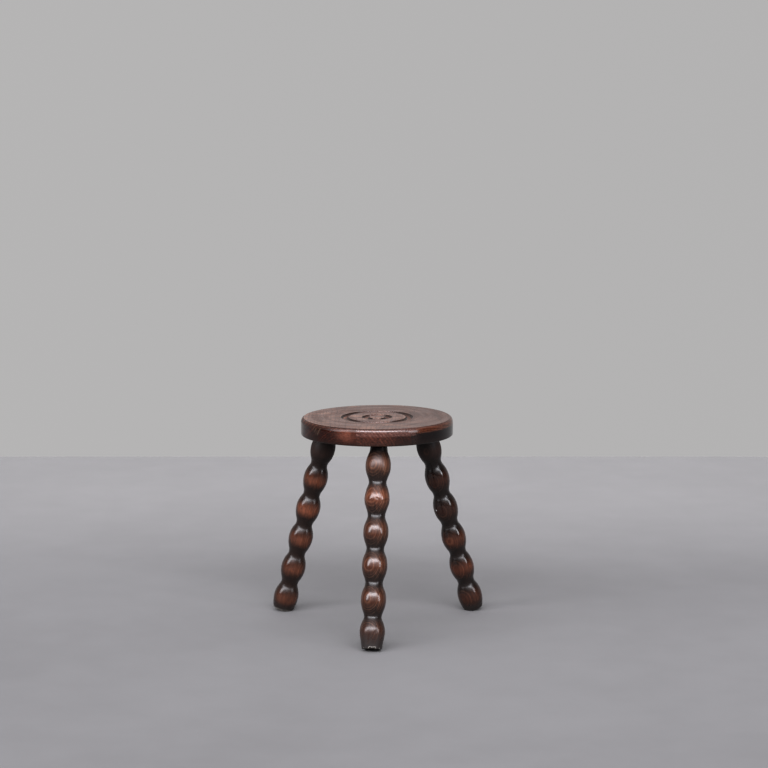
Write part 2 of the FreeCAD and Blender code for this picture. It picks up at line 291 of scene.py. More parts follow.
def build_leg(name):
    spec, wood = LEGS[name], LEG_WOOD[name]
    seed = wood["seed"]
    length = leg_length(spec[2])
    m = leg_matrix(spec)
    s = np.concatenate([
        np.linspace(-TENON_L, -TENON_L + TENON_CHAMFER, 3),
        np.linspace(-TENON_L + TENON_CHAMFER, 4.0, 14)[1:],
        np.arange(4.6, length - 14.0, 0.85),
        np.linspace(length - 13.6, length, 40),
    ])
    phi = np.arange(COLS) / COLS * 2 * math.pi
    S, PHI = np.meshgrid(s, phi, indexing="ij")
    # each bobbin's own turning: a little fuller or slimmer, and widest a little higher or lower
    higher = lambda v: v + np.interp(v, [k[0] for k in wood["higher"]], [k[1] for k in wood["higher"]])
    at = higher(s)
    turned_s, fuller = at.copy(), np.zeros_like(s)
    for b, (more, lower) in enumerate(wood["vary"]):
        u = (at - FIRST_NECK - b * PITCH) / PITCH
        m_ = (u > 0) & (u < 1)
        hump = np.sin(np.pi * np.clip(u, 0, 1)) ** 2
        turned_s -= np.where(m_, lower * hump, 0)
        neck_more = np.interp(at, FIRST_NECK + PITCH * np.arange(1, 6), wood["necks"])
        fuller += np.where(m_, more * hump + neck_more * (1 - hump) * smooth(0.0, 30.0, s), 0)
    radius = leg_radius(turned_s) + fuller
    for b, slopes in wood["own"].items():
        neck = FIRST_NECK + b * PITCH
        ends = [NECK_R + float(np.interp(k, np.arange(1, 6), wood["necks"]) * smooth(0.0, 30.0, FIRST_NECK + k * PITCH)) for k in (b, b + 1)]
        own_s, own_r = sloped(slopes, ends[0], BULGE_R + wood["vary"][b][0], ends[1] if b < BOBBINS - 1 else None)
        here = (at > neck) & (at <= neck + (PITCH if b < BOBBINS - 1 else 80.0))
        radius[here] = np.interp(at[here] - neck, own_s, own_r)
    R = np.repeat(radius[:, None], COLS, 1)
    R -= wood["taper"] * smooth(length - 34.0, length, S)
    for b, az, half, depth, at_s, reach in wood["worn"]:
        gap = (np.degrees(PHI) - az + 180) % 360 - 180
        R -= depth * np.exp(-((gap / half) ** 2) - ((S - FIRST_NECK - b * PITCH - at_s) / reach) ** 2)
    tenon_cut = np.clip(-TENON_L + TENON_CHAMFER - s, 0, None)
    R -= tenon_cut[:, None]
    around = np.stack([np.cos(PHI) * 3.0, np.sin(PHI) * 3.0, np.zeros_like(PHI)], -1).reshape(-1, 3)

    # hand turning: each bobbin a little different, a little out of round, with faint waves left by the gouge
    out = smooth(6.0, 22.0, S)
    slow = vnoise(np.c_[np.full(S.size, seed * 1.7), np.zeros(S.size), S.ravel() / 30.0], seed).reshape(S.shape)
    oval = np.cos(2 * (PHI - math.radians(wood["face"]))) * 0.16
    wave = vnoise(np.c_[np.zeros(S.size), np.full(S.size, 3.3), S.ravel() / 3.1], seed + 5).reshape(S.shape)
    fine = fbm(around * 0.7 + np.c_[np.zeros((S.size, 2)), S.ravel() / 16.0], seed + 9).reshape(S.shape)
    R += out * (0.16 * slow + oval + 0.010 * wave + 0.05 * fine)

    # dents and knocks on the wide places
    rng = np.random.default_rng(seed)
    dents = []
    for _ in range(46):
        b = rng.integers(0, BOBBINS)
        ds = FIRST_NECK + b * PITCH + BULGE_AT + rng.normal(0, 9)
        dp, rad, dep, ang = rng.uniform(0, 2 * math.pi), rng.uniform(1.2, 4.2), rng.uniform(0.10, 0.5), rng.uniform(0, math.pi)
        dents.append((ds, dp, rad, dep, ang, rng.uniform(1.0, 2.6)))
    dent = np.zeros_like(R)
    for ds, dp, rad, dep, ang, asp in dents:
        a = (S - ds)
        c = ((PHI - dp + math.pi) % (2 * math.pi) - math.pi) * R
        u = (a * math.cos(ang) + c * math.sin(ang)) / (rad * asp)
        v = (-a * math.sin(ang) + c * math.cos(ang)) / rad
        g = np.exp(-1.6 * (u * u + v * v))
        dent = np.maximum(dent, dep * g)
    R -= dent

    # the sawn end's edge: eased all round, and chipped where the foot has been knocked and dragged
    deg = np.degrees(phi)
    ease = 1.1 + 0.5 * vnoise(np.c_[np.cos(phi) * 2.2, np.sin(phi) * 2.2, np.full(COLS, seed)], seed + 3)
    ease += 0.35 * vnoise(np.c_[np.cos(phi) * 9, np.sin(phi) * 9, np.full(COLS, seed + 0.5)], seed + 4)
    for az, half, size in wood["chips"]:
        gap = (deg - az + 180) % 360 - 180
        rough = 1 + (0.45 if half < 30 else 0.16) * vnoise(np.c_[phi * 14, np.full(COLS, az), np.zeros(COLS)], seed + 6)
        ease = np.maximum(ease, size * rough * smooth(half, half * 0.45, np.abs(gap)))
    ease = np.clip(ease, 0.35, 5.2)
    into = np.clip(S - (length - ease[None, :]), 0, None)
    crumb = fbm(np.c_[around * 1.6 + np.c_[np.zeros((S.size, 2)), S.ravel() / 1.4]], seed + 8).reshape(S.shape)
    R -= into * (wood["undercut"] + 0.30 * crumb)

    local = np.stack([R * np.cos(PHI), R * np.sin(PHI), -S], -1)
    # the end itself: rings of points inwards from the edge, with faint saw lines
    edge = R[-1]
    shares = np.array([0.97, 0.92, 0.85, 0.75, 0.62, 0.48, 0.33, 0.18])
    cap = np.stack([
        shares[:, None] * edge[None, :] * np.cos(phi)[None, :],
        shares[:, None] * edge[None, :] * np.sin(phi)[None, :],
        np.full((len(shares), COLS), -length),
    ], -1)
    saw = 0.10 * np.sin(cap[..., 0] * 2.4 + cap[..., 1] * 0.9) + 0.12 * vnoise(cap.reshape(-1, 3) * 0.35, seed + 2).reshape(cap.shape[:2])
    cap[..., 2] += 0.12 + saw
    top_share = np.array([0.8, 0.5, 0.25])
    top = np.stack([
        top_share[:, None] * R[0][None, :] * np.cos(phi)[None, :],
        top_share[:, None] * R[0][None, :] * np.sin(phi)[None, :],
        np.full((len(top_share), COLS), TENON_L),
    ], -1)
    rows = np.concatenate([top[::-1], local, cap])
    n_rows = len(rows)
    pts = np.concatenate([rows.reshape(-1, 3), [[0, 0, TENON_L]], [[0, 0, -length + 0.12]]])
    quads = grid_faces(n_rows, COLS)[:, ::-1]
    j = np.arange(COLS)
    k = (j + 1) % COLS
    tris = np.concatenate([
        np.stack([np.full(COLS, n_rows * COLS), j, k], -1),
        np.stack([np.full(COLS, n_rows * COLS + 1), (n_rows - 1) * COLS + k, (n_rows - 1) * COLS + j], -1),
    ])
    world = pts @ m[:3, :3].T + m[:3, 3]
    # worn flat where it stands
    world[:, 2] = np.maximum(world[:, 2], 0.0)
    me = make_mesh(name + "_turned", world, quads, tris)
    o = add_object(name + "_turned", me)

    # the wedged cut in the tenon
    half = np.array([
        [-KERF_TOP / 2 - 0.06, TENON_L + 0.5], [-KERF_BOTTOM / 2, TENON_L - KERF_DEPTH],
        [KERF_BOTTOM / 2, TENON_L - KERF_DEPTH], [KERF_TOP / 2 + 0.06, TENON_L + 0.5],
    ])
    turn = np.eye(4)
    turn[:3, 0], turn[:3, 1], turn[:3, 2] = (0, 1, 0), (0, 0, 1), (1, 0, 0)
    boolean(o, prism("kerf_cut", m @ turn, half, -30, 30), "DIFFERENCE")

    me = o.data
    w = coords(me)
    loc = (w - m[:3, 3]) @ m[:3, :3]
    ls, lr = -loc[:, 2], np.hypot(loc[:, 0], loc[:, 1])
    lphi = np.arctan2(loc[:, 1], loc[:, 0])
    face = math.radians(wood["face"])
    # log frame: z along the grain, x away from the pith
    lx = loc[:, 0] * math.cos(face) + loc[:, 1] * math.sin(face) + wood["pith"]
    ly = -loc[:, 0] * math.sin(face) + loc[:, 1] * math.cos(face)
    tilt = 0.012
    put(me, "log", np.c_[lx + tilt * loc[:, 2], ly + wood["skew"] * (loc[:, 2] + 170.0), loc[:, 2]])
    put(me, "along", higher(ls))
    put(me, "toward_lights", np.cos(lphi - math.radians(wood["front"])))
    centres = FIRST_NECK + np.arange(BOBBINS) * PITCH + BULGE_AT
    # how much light wood shows on each bobbin; close under the seat it falls almost to nothing, a painted shadow of the
    # seat
    put(me, "rubbed_and_shadowed", np.interp(ls, np.r_[14.0, centres], np.r_[0.02, wood["rubbed_and_shadowed"]]))
    # 1 on the sawn end and its broken edge, fading up the foot
    ease_at = np.interp(np.degrees(lphi) % 360, np.r_[deg, 360.0], np.r_[ease, ease[0]])
    from_end = length - ls
    broken = smooth(ease_at + 0.5, ease_at - 0.5, from_end) * smooth(1.5, 2.6, ease_at)
    # the undercut below the broken edge, painted dark as its shade
    undercut_shade = smooth(ease_at - 1.3, ease_at - 2.1, from_end) * smooth(1.5, 2.6, ease_at) * (wood["undercut"] > 1)
    put(me, "bare", broken * (1 - undercut_shade))
    put(me, "undercut_shade", undercut_shade)
    put(me, "end", from_end)
    put(me, "sawn", smooth(0.5, 0.2, from_end) * smooth(0.0, 1.0, (edge.min() - 0.3) - lr))
    put(me, "dent", np.clip(dent_at(ls, lphi, dents), 0, 1))
    speck = np.zeros(len(ls))
    for s0, a0, half_long, half_wide in wood.get("specks", ()):
        round_it = ((lphi - math.radians(a0) + math.pi) % (2 * math.pi) - math.pi) * lr
        speck = np.maximum(speck, np.exp(-((ls - s0) / half_long) ** 2 - (round_it / half_wide) ** 2))
    put(me, "speck", speck)
    me.set_sharp_from_angle(angle=math.radians(42))
    return o


def dent_at(ls, lphi, dents):
    d = np.zeros_like(ls)
    for ds, dp, rad, dep, ang, asp in dents:
        near = np.abs(ls - ds) < rad * asp * 2
        a = ls[near] - ds
        c = ((lphi[near] - dp + math.pi) % (2 * math.pi) - math.pi) * 24.0
        u = (a * math.cos(ang) + c * math.sin(ang)) / (rad * asp)
        v = (-a * math.sin(ang) + c * math.cos(ang)) / rad
        d[near] = np.maximum(d[near], dep / 0.5 * np.exp(-1.6 * (u * u + v * v)))
    return d


# ------------------------------------------------------------------ seat
# the edge's shape as arcs (radius, from and to angle of the outward direction above level): corner, shoulder, rim, lower corner
EDGE_ARCS = [(3.0, 90.0, 32.0, 12), (12.5, 32.0, 17.0, 10), (20.0, 17.0, 1.5, 10), (0.0, 1.5, -1.5, 20), (2.6, -1.5, -90.0, 12)]
_used = sum(r * (math.sin(math.radians(a)) - math.sin(math.radians(b))) for r, a, b, _ in EDGE_ARCS)
EDGE_ARCS[3] = ((SEAT_T - EDGE_STEP - _used) / (2 * math.sin(math.radians(1.5))), 1.5, -1.5, 20)
_out = sum(r * (math.cos(math.radians(b)) - math.cos(math.radians(a))) for r, a, b, _ in EDGE_ARCS[:3]) + EDGE_ARCS[3][0] * (1 - math.cos(math.radians(1.5)))
FLAT_TO = SEAT_R - _out


def seat_profile():
    """Points (r, z) from the middle of the top, over the edge, to the middle of the underside."""
    p = []

    def run(a, b, n):
        t = np.linspace(0, 1, n, endpoint=False)
        p.extend(zip(a[0] + (b[0] - a[0]) * t, a[1] + (b[1] - a[1]) * t))

    def cove(r0, r1, n):
        # round bottom and steep walls
        mid, half = (r0 + r1) / 2, (r1 - r0) / 2
        t = np.linspace(-math.pi / 2, math.pi / 2, n, endpoint=False)
        u = np.sin(t)
        p.extend(zip(mid + half * u, SEAT_TOP - 0.08 - (COVE_DEPTH - 0.08) * np.cos(t) ** 0.9))

    flat_to, step_z = FLAT_TO, SEAT_TOP - EDGE_STEP
    run((1.2, SEAT_TOP), (COVE_1[0] - 0.5, SEAT_TOP), 12)
    run((COVE_1[0] - 0.5, SEAT_TOP), (COVE_1[0], SEAT_TOP - 0.08), 3)
    cove(*COVE_1, 34)
    run((COVE_1[1], SEAT_TOP - 0.08), (COVE_1[1] + 0.5, SEAT_TOP), 3)
    run((COVE_1[1] + 0.5, SEAT_TOP), (COVE_2[0] - 0.5, SEAT_TOP), 20)
    run((COVE_2[0] - 0.5, SEAT_TOP), (COVE_2[0], SEAT_TOP - 0.08), 3)
    cove(*COVE_2, 34)
    run((COVE_2[1], SEAT_TOP - 0.08), (COVE_2[1] + 0.5, SEAT_TOP), 3)
    run((COVE_2[1] + 0.5, SEAT_TOP), (flat_to - 0.7, SEAT_TOP), 52)
    run((flat_to - 0.7, SEAT_TOP), (flat_to - 0.1, SEAT_TOP - 0.25), 4)
    run((flat_to - 0.1, SEAT_TOP - 0.25), (flat_to, step_z), 3)
    r0, z0 = flat_to, step_z
    for radius, a0, a1, n in EDGE_ARCS:
        a = np.radians(np.linspace(a0, a1, n, endpoint=False))
        u0, u1 = math.radians(a0), math.radians(a1)
        p.extend(zip(r0 + radius * (np.cos(a) - math.cos(u0)), z0 + radius * (np.sin(a) - math.sin(u0))))
        r0, z0 = r0 + radius * (math.cos(u1) - math.cos(u0)), z0 + radius * (math.sin(u1) - math.sin(u0))
    run((r0, UNDERSIDE), (1.2, UNDERSIDE), 70)
    p.append((1.2, UNDERSIDE))
    return np.array(p)


SEAT_COLS = 864
BOARD_LEVEL = {0: 0.06, 1: -0.05, 2: 0.03}


def lift(x, y):
    """How far the top has risen here: the boards have cupped, most at the back."""
    return 0.85 * smooth(-120.0, 150.0, y) + 1.05 * smooth(-75.0, 50.0, x) * smooth(-60.0, 100.0, y)


def build_seat():
    prof = seat_profile()
    n = len(prof)
    phi = np.arange(SEAT_COLS) / SEAT_COLS * 2 * math.pi
    r = np.repeat(prof[:, 0:1], SEAT_COLS, 1)
    z = np.repeat(prof[:, 1:2], SEAT_COLS, 1)
    c, s = np.cos(phi)[None, :], np.sin(phi)[None, :]
    on_top = (np.arange(n) < np.argmax(prof[:, 0] >= SEAT_R - 0.01))[:, None]
    x, y = r * c, r * s
    flat = np.stack([x, y, np.zeros_like(x)], -1).reshape(-1, 3)

    # the seat has moved a little with the years: slightly oval across the grain, boards hardly level, gentle hollows
    r = r * (1 + np.where(r > 100, 0.0046, 0.0) * c * c)
    board = (x > JOINT_X[0]).astype(int) + (x > JOINT_X[1]).astype(int)
    level = np.array([BOARD_LEVEL[b] for b in range(3)])[board]
    centre = np.array([-95.0, 13.0, 108.0])[board]
    half = np.array([55.0, 53.0, 42.0])[board]
    cup = -0.10 * (1 - ((x - centre) / half) ** 2)
    hollow = fbm(flat / np.array([38.0, 90.0, 1.0]), 71, 2).reshape(x.shape) * 0.13
    sit = -0.25 * np.exp(-((x / 105) ** 2 + (y / 105) ** 2))
    z = z + np.where(on_top, level + cup + hollow + sit, 0.35 * (level + cup))
    r = r + np.where(r > 120, 0.05 * smooth(SEAT_TOP - 10.0, SEAT_TOP - 17.0, z) * fbm(np.stack([x / 22, y / 22, z / 16], -1).reshape(-1, 3), 83).reshape(x.shape), 0)

    # small dents on the top and knocks along the edge
    rng = np.random.default_rng(5)
    for _ in range(44):
        a, q = rng.uniform(0, 2 * math.pi), math.sqrt(rng.uniform(0.02, 1)) * 141
        px, py, rad, dep, ang, asp = q * math.cos(a), q * math.sin(a), rng.uniform(1.2, 3.6), rng.uniform(0.05, 0.26), rng.uniform(0, math.pi), rng.uniform(1, 4)
        u = ((x - px) * math.cos(ang) + (y - py) * math.sin(ang)) / (rad * asp)
        v = (-(x - px) * math.sin(ang) + (y - py) * math.cos(ang)) / rad
        near = (np.abs(u) < 2.2) & (np.abs(v) < 2.2) & on_top
        z[near] -= dep * np.exp(-1.6 * (u[near] ** 2 + v[near] ** 2))
    for _ in range(34):
        a, zc = rng.uniform(0, 2 * math.pi), rng.choice([SEAT_TOP - 1.6, UNDERSIDE + 0.8, UNDERSIDE + 2.0, UNDERSIDE + 12])
        rad, dep, asp = rng.uniform(0.8, 2.4), rng.uniform(0.06, 0.26), rng.uniform(1, 3)
        u = ((phi[None, :] - a + math.pi) % (2 * math.pi) - math.pi) * SEAT_R / (rad * asp)
        v = (z - zc) / rad
        near = (np.abs(u) < 2.2) & (np.abs(v) < 2.2) & (r > 140)
        if zc > SEAT_TOP - 2.0 and math.sin(a) < 0 and 25.0 < SEAT_R * math.cos(a) < 80.0:
            continue  # the edge is whole here
        r[near] -= (dep * np.exp(-1.6 * (u**2 + v**2)))[near]

    # a worn place on the shoulder, right of the middle
    u = ((phi[None, :] - math.radians(-62.4) + math.pi) % (2 * math.pi) - math.pi) * SEAT_R / 10.0
    v = (z - (SEAT_TOP - 3.4)) / 4.4
    near = (np.abs(u) < 2.4) & (np.abs(v) < 2.4) & (r > 140)
    r[near] -= (0.26 * np.exp(-1.6 * (u**2 + v**2)))[near]

    z = z + lift(x, y) * np.clip((z - UNDERSIDE) / SEAT_T, 0, 1)
    pts = np.stack([r * c, r * s, z], -1).reshape(-1, 3)
    pts = np.concatenate([pts, [[0, 0, z[0].mean()]], [[0, 0, z[-1].mean()]]])
    quads = grid_faces(n, SEAT_COLS)[:, ::-1]
    j = np.arange(SEAT_COLS)
    k = (j + 1) % SEAT_COLS
    tris = np.concatenate([
        np.stack([np.full(SEAT_COLS, n * SEAT_COLS), j, k], -1),
        np.stack([np.full(SEAT_COLS, n * SEAT_COLS + 1), (n - 1) * SEAT_COLS + k, (n - 1) * SEAT_COLS + j], -1),
    ])
    return make_mesh("seat_blank", pts, quads, tris)


# pith place (x, z) of each board's log, how far the log's axis swings from Y, ring spacing, tint of the board and of
# its rim (stain, with painted shade darkening it towards the right)
BOARD_WOOD = {
    "seat_board_left": dict(seed=101, pith=(-40.0, 326.0), swing=0.03, spacing=4.4, x=(-200.0, JOINT_X[0] - GLUE_GAP / 2),
                            tint=(1.0, 0.97, 0.95), rim_stain_and_shade=(0.44, 0.24, 0.20), rub_and_sheen=0.10, figure=1.0, soft=0.62, edge=0.24, band=(4.6, 4.6)),
    "seat_board_middle": dict(seed=113, pith=(-66.0, 338.0), swing=-0.04, spacing=5.6, x=(JOINT_X[0] + GLUE_GAP / 2, JOINT_X[1] - GLUE_GAP / 2),
                              tint=(1.0, 0.97, 0.95), rim_stain_and_shade=(0.82, 0.74, 0.72), rub_and_sheen=0.80, figure=0.66, soft=0.90, edge=0.09, band=(8.5, 8.0)),
    "seat_board_right": dict(seed=127, pith=(96.0, 296.0), swing=0.02, spacing=6.0, x=(JOINT_X[1] + GLUE_GAP / 2, 200.0),
                             tint=(0.88, 0.90, 0.92), rim_stain_and_shade=(0.09, 0.09, 0.10), rub_and_sheen=0.78, figure=0.3, soft=1.0, edge=0.02, band=(6.6, 6.4)),
}


def build_board(name, blank):
    wood = BOARD_WOOD[name]
    o = add_object(name + "_worn", blank.copy())
    x0, x1 = wood["x"]
    box = np.array([[x0, -200], [x1, -200], [x1, 200], [x0, 200]], float)
    boolean(o, prism("board_box", np.eye(4), box, UNDERSIDE - 30, SEAT_TOP + 30), "INTERSECT")
    for leg, spec in LEGS.items():
        px = spec[0] * math.cos(math.radians(spec[1]))
        if x0 < px < x1:
            boolean(o, prism("socket_cut", leg_matrix(spec), circle(SOCKET_R, 128), -40, SOCKET_DEPTH), "DIFFERENCE")
    turn = np.eye(4)
    turn[:3, 0], turn[:3, 1], turn[:3, 2] = (0, 1, 0), (0, 0, 1), (1, 0, 0)
    for jx, jy in DOWELS:
        if abs(jx - x0) < 1 or abs(jx - x1) < 1:
            m = turn.copy()
            m[:3, 3] = (jx, jy, DOWEL_Z)
            boolean(o, prism("dowel_cut", m, circle(DOWEL_HOLE_R, 32), -DOWEL_HOLE_L / 2, DOWEL_HOLE_L / 2), "DIFFERENCE")
    me = o.data
    w = coords(me)
    px, pz = wood["pith"]
    put(me, "log", np.c_[w[:, 0] - px + wood["swing"] * w[:, 1], w[:, 2] - pz + 0.4 * wood["swing"] * w[:, 1], w[:, 1]])
    risen = lift(w[:, 0], w[:, 1]) * np.clip((w[:, 2] - UNDERSIDE) / SEAT_T, 0, 1)
    put(me, "spot", np.c_[w[:, 0], w[:, 1], w[:, 2] - SEAT_TOP - risen])
    me.set_sharp_from_angle(angle=math.radians(38))
    return o


# ------------------------------------------------------------------ materials
class Nodes:
    def __init__(self, name):
        self.mat = bpy.data.materials.new(name)
        self.mat.use_nodes = True
        self.t = self.mat.node_tree
        self.t.nodes.clear()
        self.out = self.t.nodes.new("ShaderNodeOutputMaterial")
        self.bsdf = self.t.nodes.new("ShaderNodeBsdfPrincipled")
        self.t.links.new(self.bsdf.outputs[0], self.out.inputs["Surface"])

    def put(self, socket, value):
        if hasattr(value, "is_output"):
            self.t.links.new(value, socket)
        elif value is not None:
            socket.default_value = value

    def node(self, kind, **props):
        n = self.t.nodes.new(kind)
        for k, v in props.items():
            setattr(n, k, v)
        return n

    def math(self, op, a, b=None, c=None, clamp=False):
        n = self.node("ShaderNodeMath", operation=op, use_clamp=clamp)
        for s, v in zip(n.inputs, (a, b, c)):
            self.put(s, v)
        return n.outputs[0]

    def vec(self, op, a, b=None):
        n = self.node("ShaderNodeVectorMath", operation=op)
        self.put(n.inputs[0], a)
        if b is not None:
            self.put(n.inputs[1], b)
        return n.outputs[0]

    def attr(self, name, vector=False):
        n = self.node("ShaderNodeAttribute", attribute_name=name, attribute_type="GEOMETRY")
        return n.outputs["Vector"] if vector else n.outputs["Fac"]

    def split(self, v):
        n = self.node("ShaderNodeSeparateXYZ")
        self.put(n.inputs[0], v)
        return n.outputs[0], n.outputs[1], n.outputs[2]

    def join(self, x, y, z):
        n = self.node("ShaderNodeCombineXYZ")
        for s, v in zip(n.inputs, (x, y, z)):
            self.put(s, v)
        return n.outputs[0]

    def noise(self, v, scale, detail=2.0, rough=0.5, warp=0.0, colour=False):
        n = self.node("ShaderNodeTexNoise", noise_dimensions="3D")
        self.put(n.inputs["Vector"], v)
        self.put(n.inputs["Scale"], scale)
        self.put(n.inputs["Detail"], detail)
        self.put(n.inputs["Roughness"], rough)
        self.put(n.inputs["Distortion"], warp)
        return n.outputs["Color"] if colour else n.outputs["Fac"]

    def white(self, w):
        n = self.node("ShaderNodeTexWhiteNoise", noise_dimensions="1D")
        self.put(n.inputs["W"], w)
        return n.outputs["Value"]

    def span(self, x, a, b, lo=0.0, hi=1.0, soft=True):
        n = self.node("ShaderNodeMapRange", interpolation_type="SMOOTHSTEP" if soft else "LINEAR")
        self.put(n.inputs[0], x)
        for s, v in zip(list(n.inputs)[1:5], (a, b, lo, hi)):
            self.put(s, v)
        return n.outputs[0]

    def ramp(self, fac, stops, mode="LINEAR"):
        n = self.node("ShaderNodeValToRGB")
        n.color_ramp.interpolation = mode
        e = n.color_ramp.elements
        while len(e) > 1:
            e.remove(e[-1])
        e[0].position, e[0].color = stops[0][0], (*stops[0][1], 1)
        for p, col in stops[1:]:
            k = e.new(p)
            k.color = (*col, 1)
        self.put(n.inputs[0], fac)
        return n.outputs[0]

    def curve(self, fac, stops):
        return self.ramp(fac, [(p, (v, v, v)) for p, v in stops])

    def mix(self, fac, a, b, how="MIX"):
        n = self.node("ShaderNodeMix", data_type="RGBA", blend_type=how, clamp_factor=True)
        self.put(n.inputs["Factor"], fac)
        for s, v in ((n.inputs[6], a), (n.inputs[7], b)):
            self.put(s, (*v, 1) if isinstance(v, tuple) else v)
        return n.outputs[2]

    def grey(self, v):
        """A factor as a grey colour, to multiply with."""
        return self.join(v, v, v)

    def bump(self, height_mm, strength, normal=None):
        n = self.node("ShaderNodeBump")
        self.put(n.inputs["Height"], height_mm)
        n.inputs["Strength"].default_value = strength
        n.inputs["Distance"].default_value = 0.001
        if normal is not None:
            self.put(n.inputs["Normal"], normal)
        return n.outputs[0]


def wood_figure(g, spacing, seed, wobble=1.0):
    """Growth rings, fibres and pores of a piece, from its place in the log. Returns late wood, fibre, pore and ring tone, each 0 to 1."""
    log = g.vec("ADD", g.attr("log", True), (seed * 3.17, 0.0, seed * 11.3))
    here = g.attr("log", True)
    slow = g.noise(g.vec("MULTIPLY", log, (0.022, 0.022, 0.0055)), 1.0, 2.0, 0.5, colour=True)
    sx, sy, _ = g.split(slow)
    quick = g.noise(g.vec("MULTIPLY", log, (0.16, 0.16, 0.012)), 1.0, 3.0, 0.55)
    x, y, z = g.split(here)
    x = g.math("ADD", x, g.math("MULTIPLY", g.math("SUBTRACT", sx, 0.5), 15.0 * wobble))
    y = g.math("ADD", y, g.math("MULTIPLY", g.math("SUBTRACT", sy, 0.5), 15.0 * wobble))
    r = g.math("SQRT", g.math("ADD", g.math("MULTIPLY", x, x), g.math("MULTIPLY", y, y)))
    r = g.math("ADD", r, g.math("MULTIPLY", g.math("SUBTRACT", quick, 0.5), min(1.9, 0.7 * spacing)))
    pos = g.math("DIVIDE", r, spacing)
    drift = g.noise(g.join(g.math("MULTIPLY", pos, 0.37), seed * 1.0, 0.0), 1.0, 1.0)
    pos = g.math("ADD", pos, g.math("MULTIPLY", drift, 1.6))
    t = g.math("FRACT", pos)
    tone = g.white(g.math("ADD", g.math("FLOOR", pos), seed * 7.0))
    late = g.curve(t, [(0.0, 0.0), (0.40, 0.05), (0.62, 0.30), (0.76, 0.92), (0.90, 1.0), (0.97, 0.35), (1.0, 0.0)])
    fibre = g.noise(g.vec("MULTIPLY", log, (1.9, 1.9, 0.045)), 1.0, 4.0, 0.65)
    pores = g.noise(g.vec("MULTIPLY", log, (3.4, 3.4, 0.11)), 1.0, 2.0, 0.5)
    pore = g.span(pores, 0.60, 0.72)
    return late, fibre, pore, tone


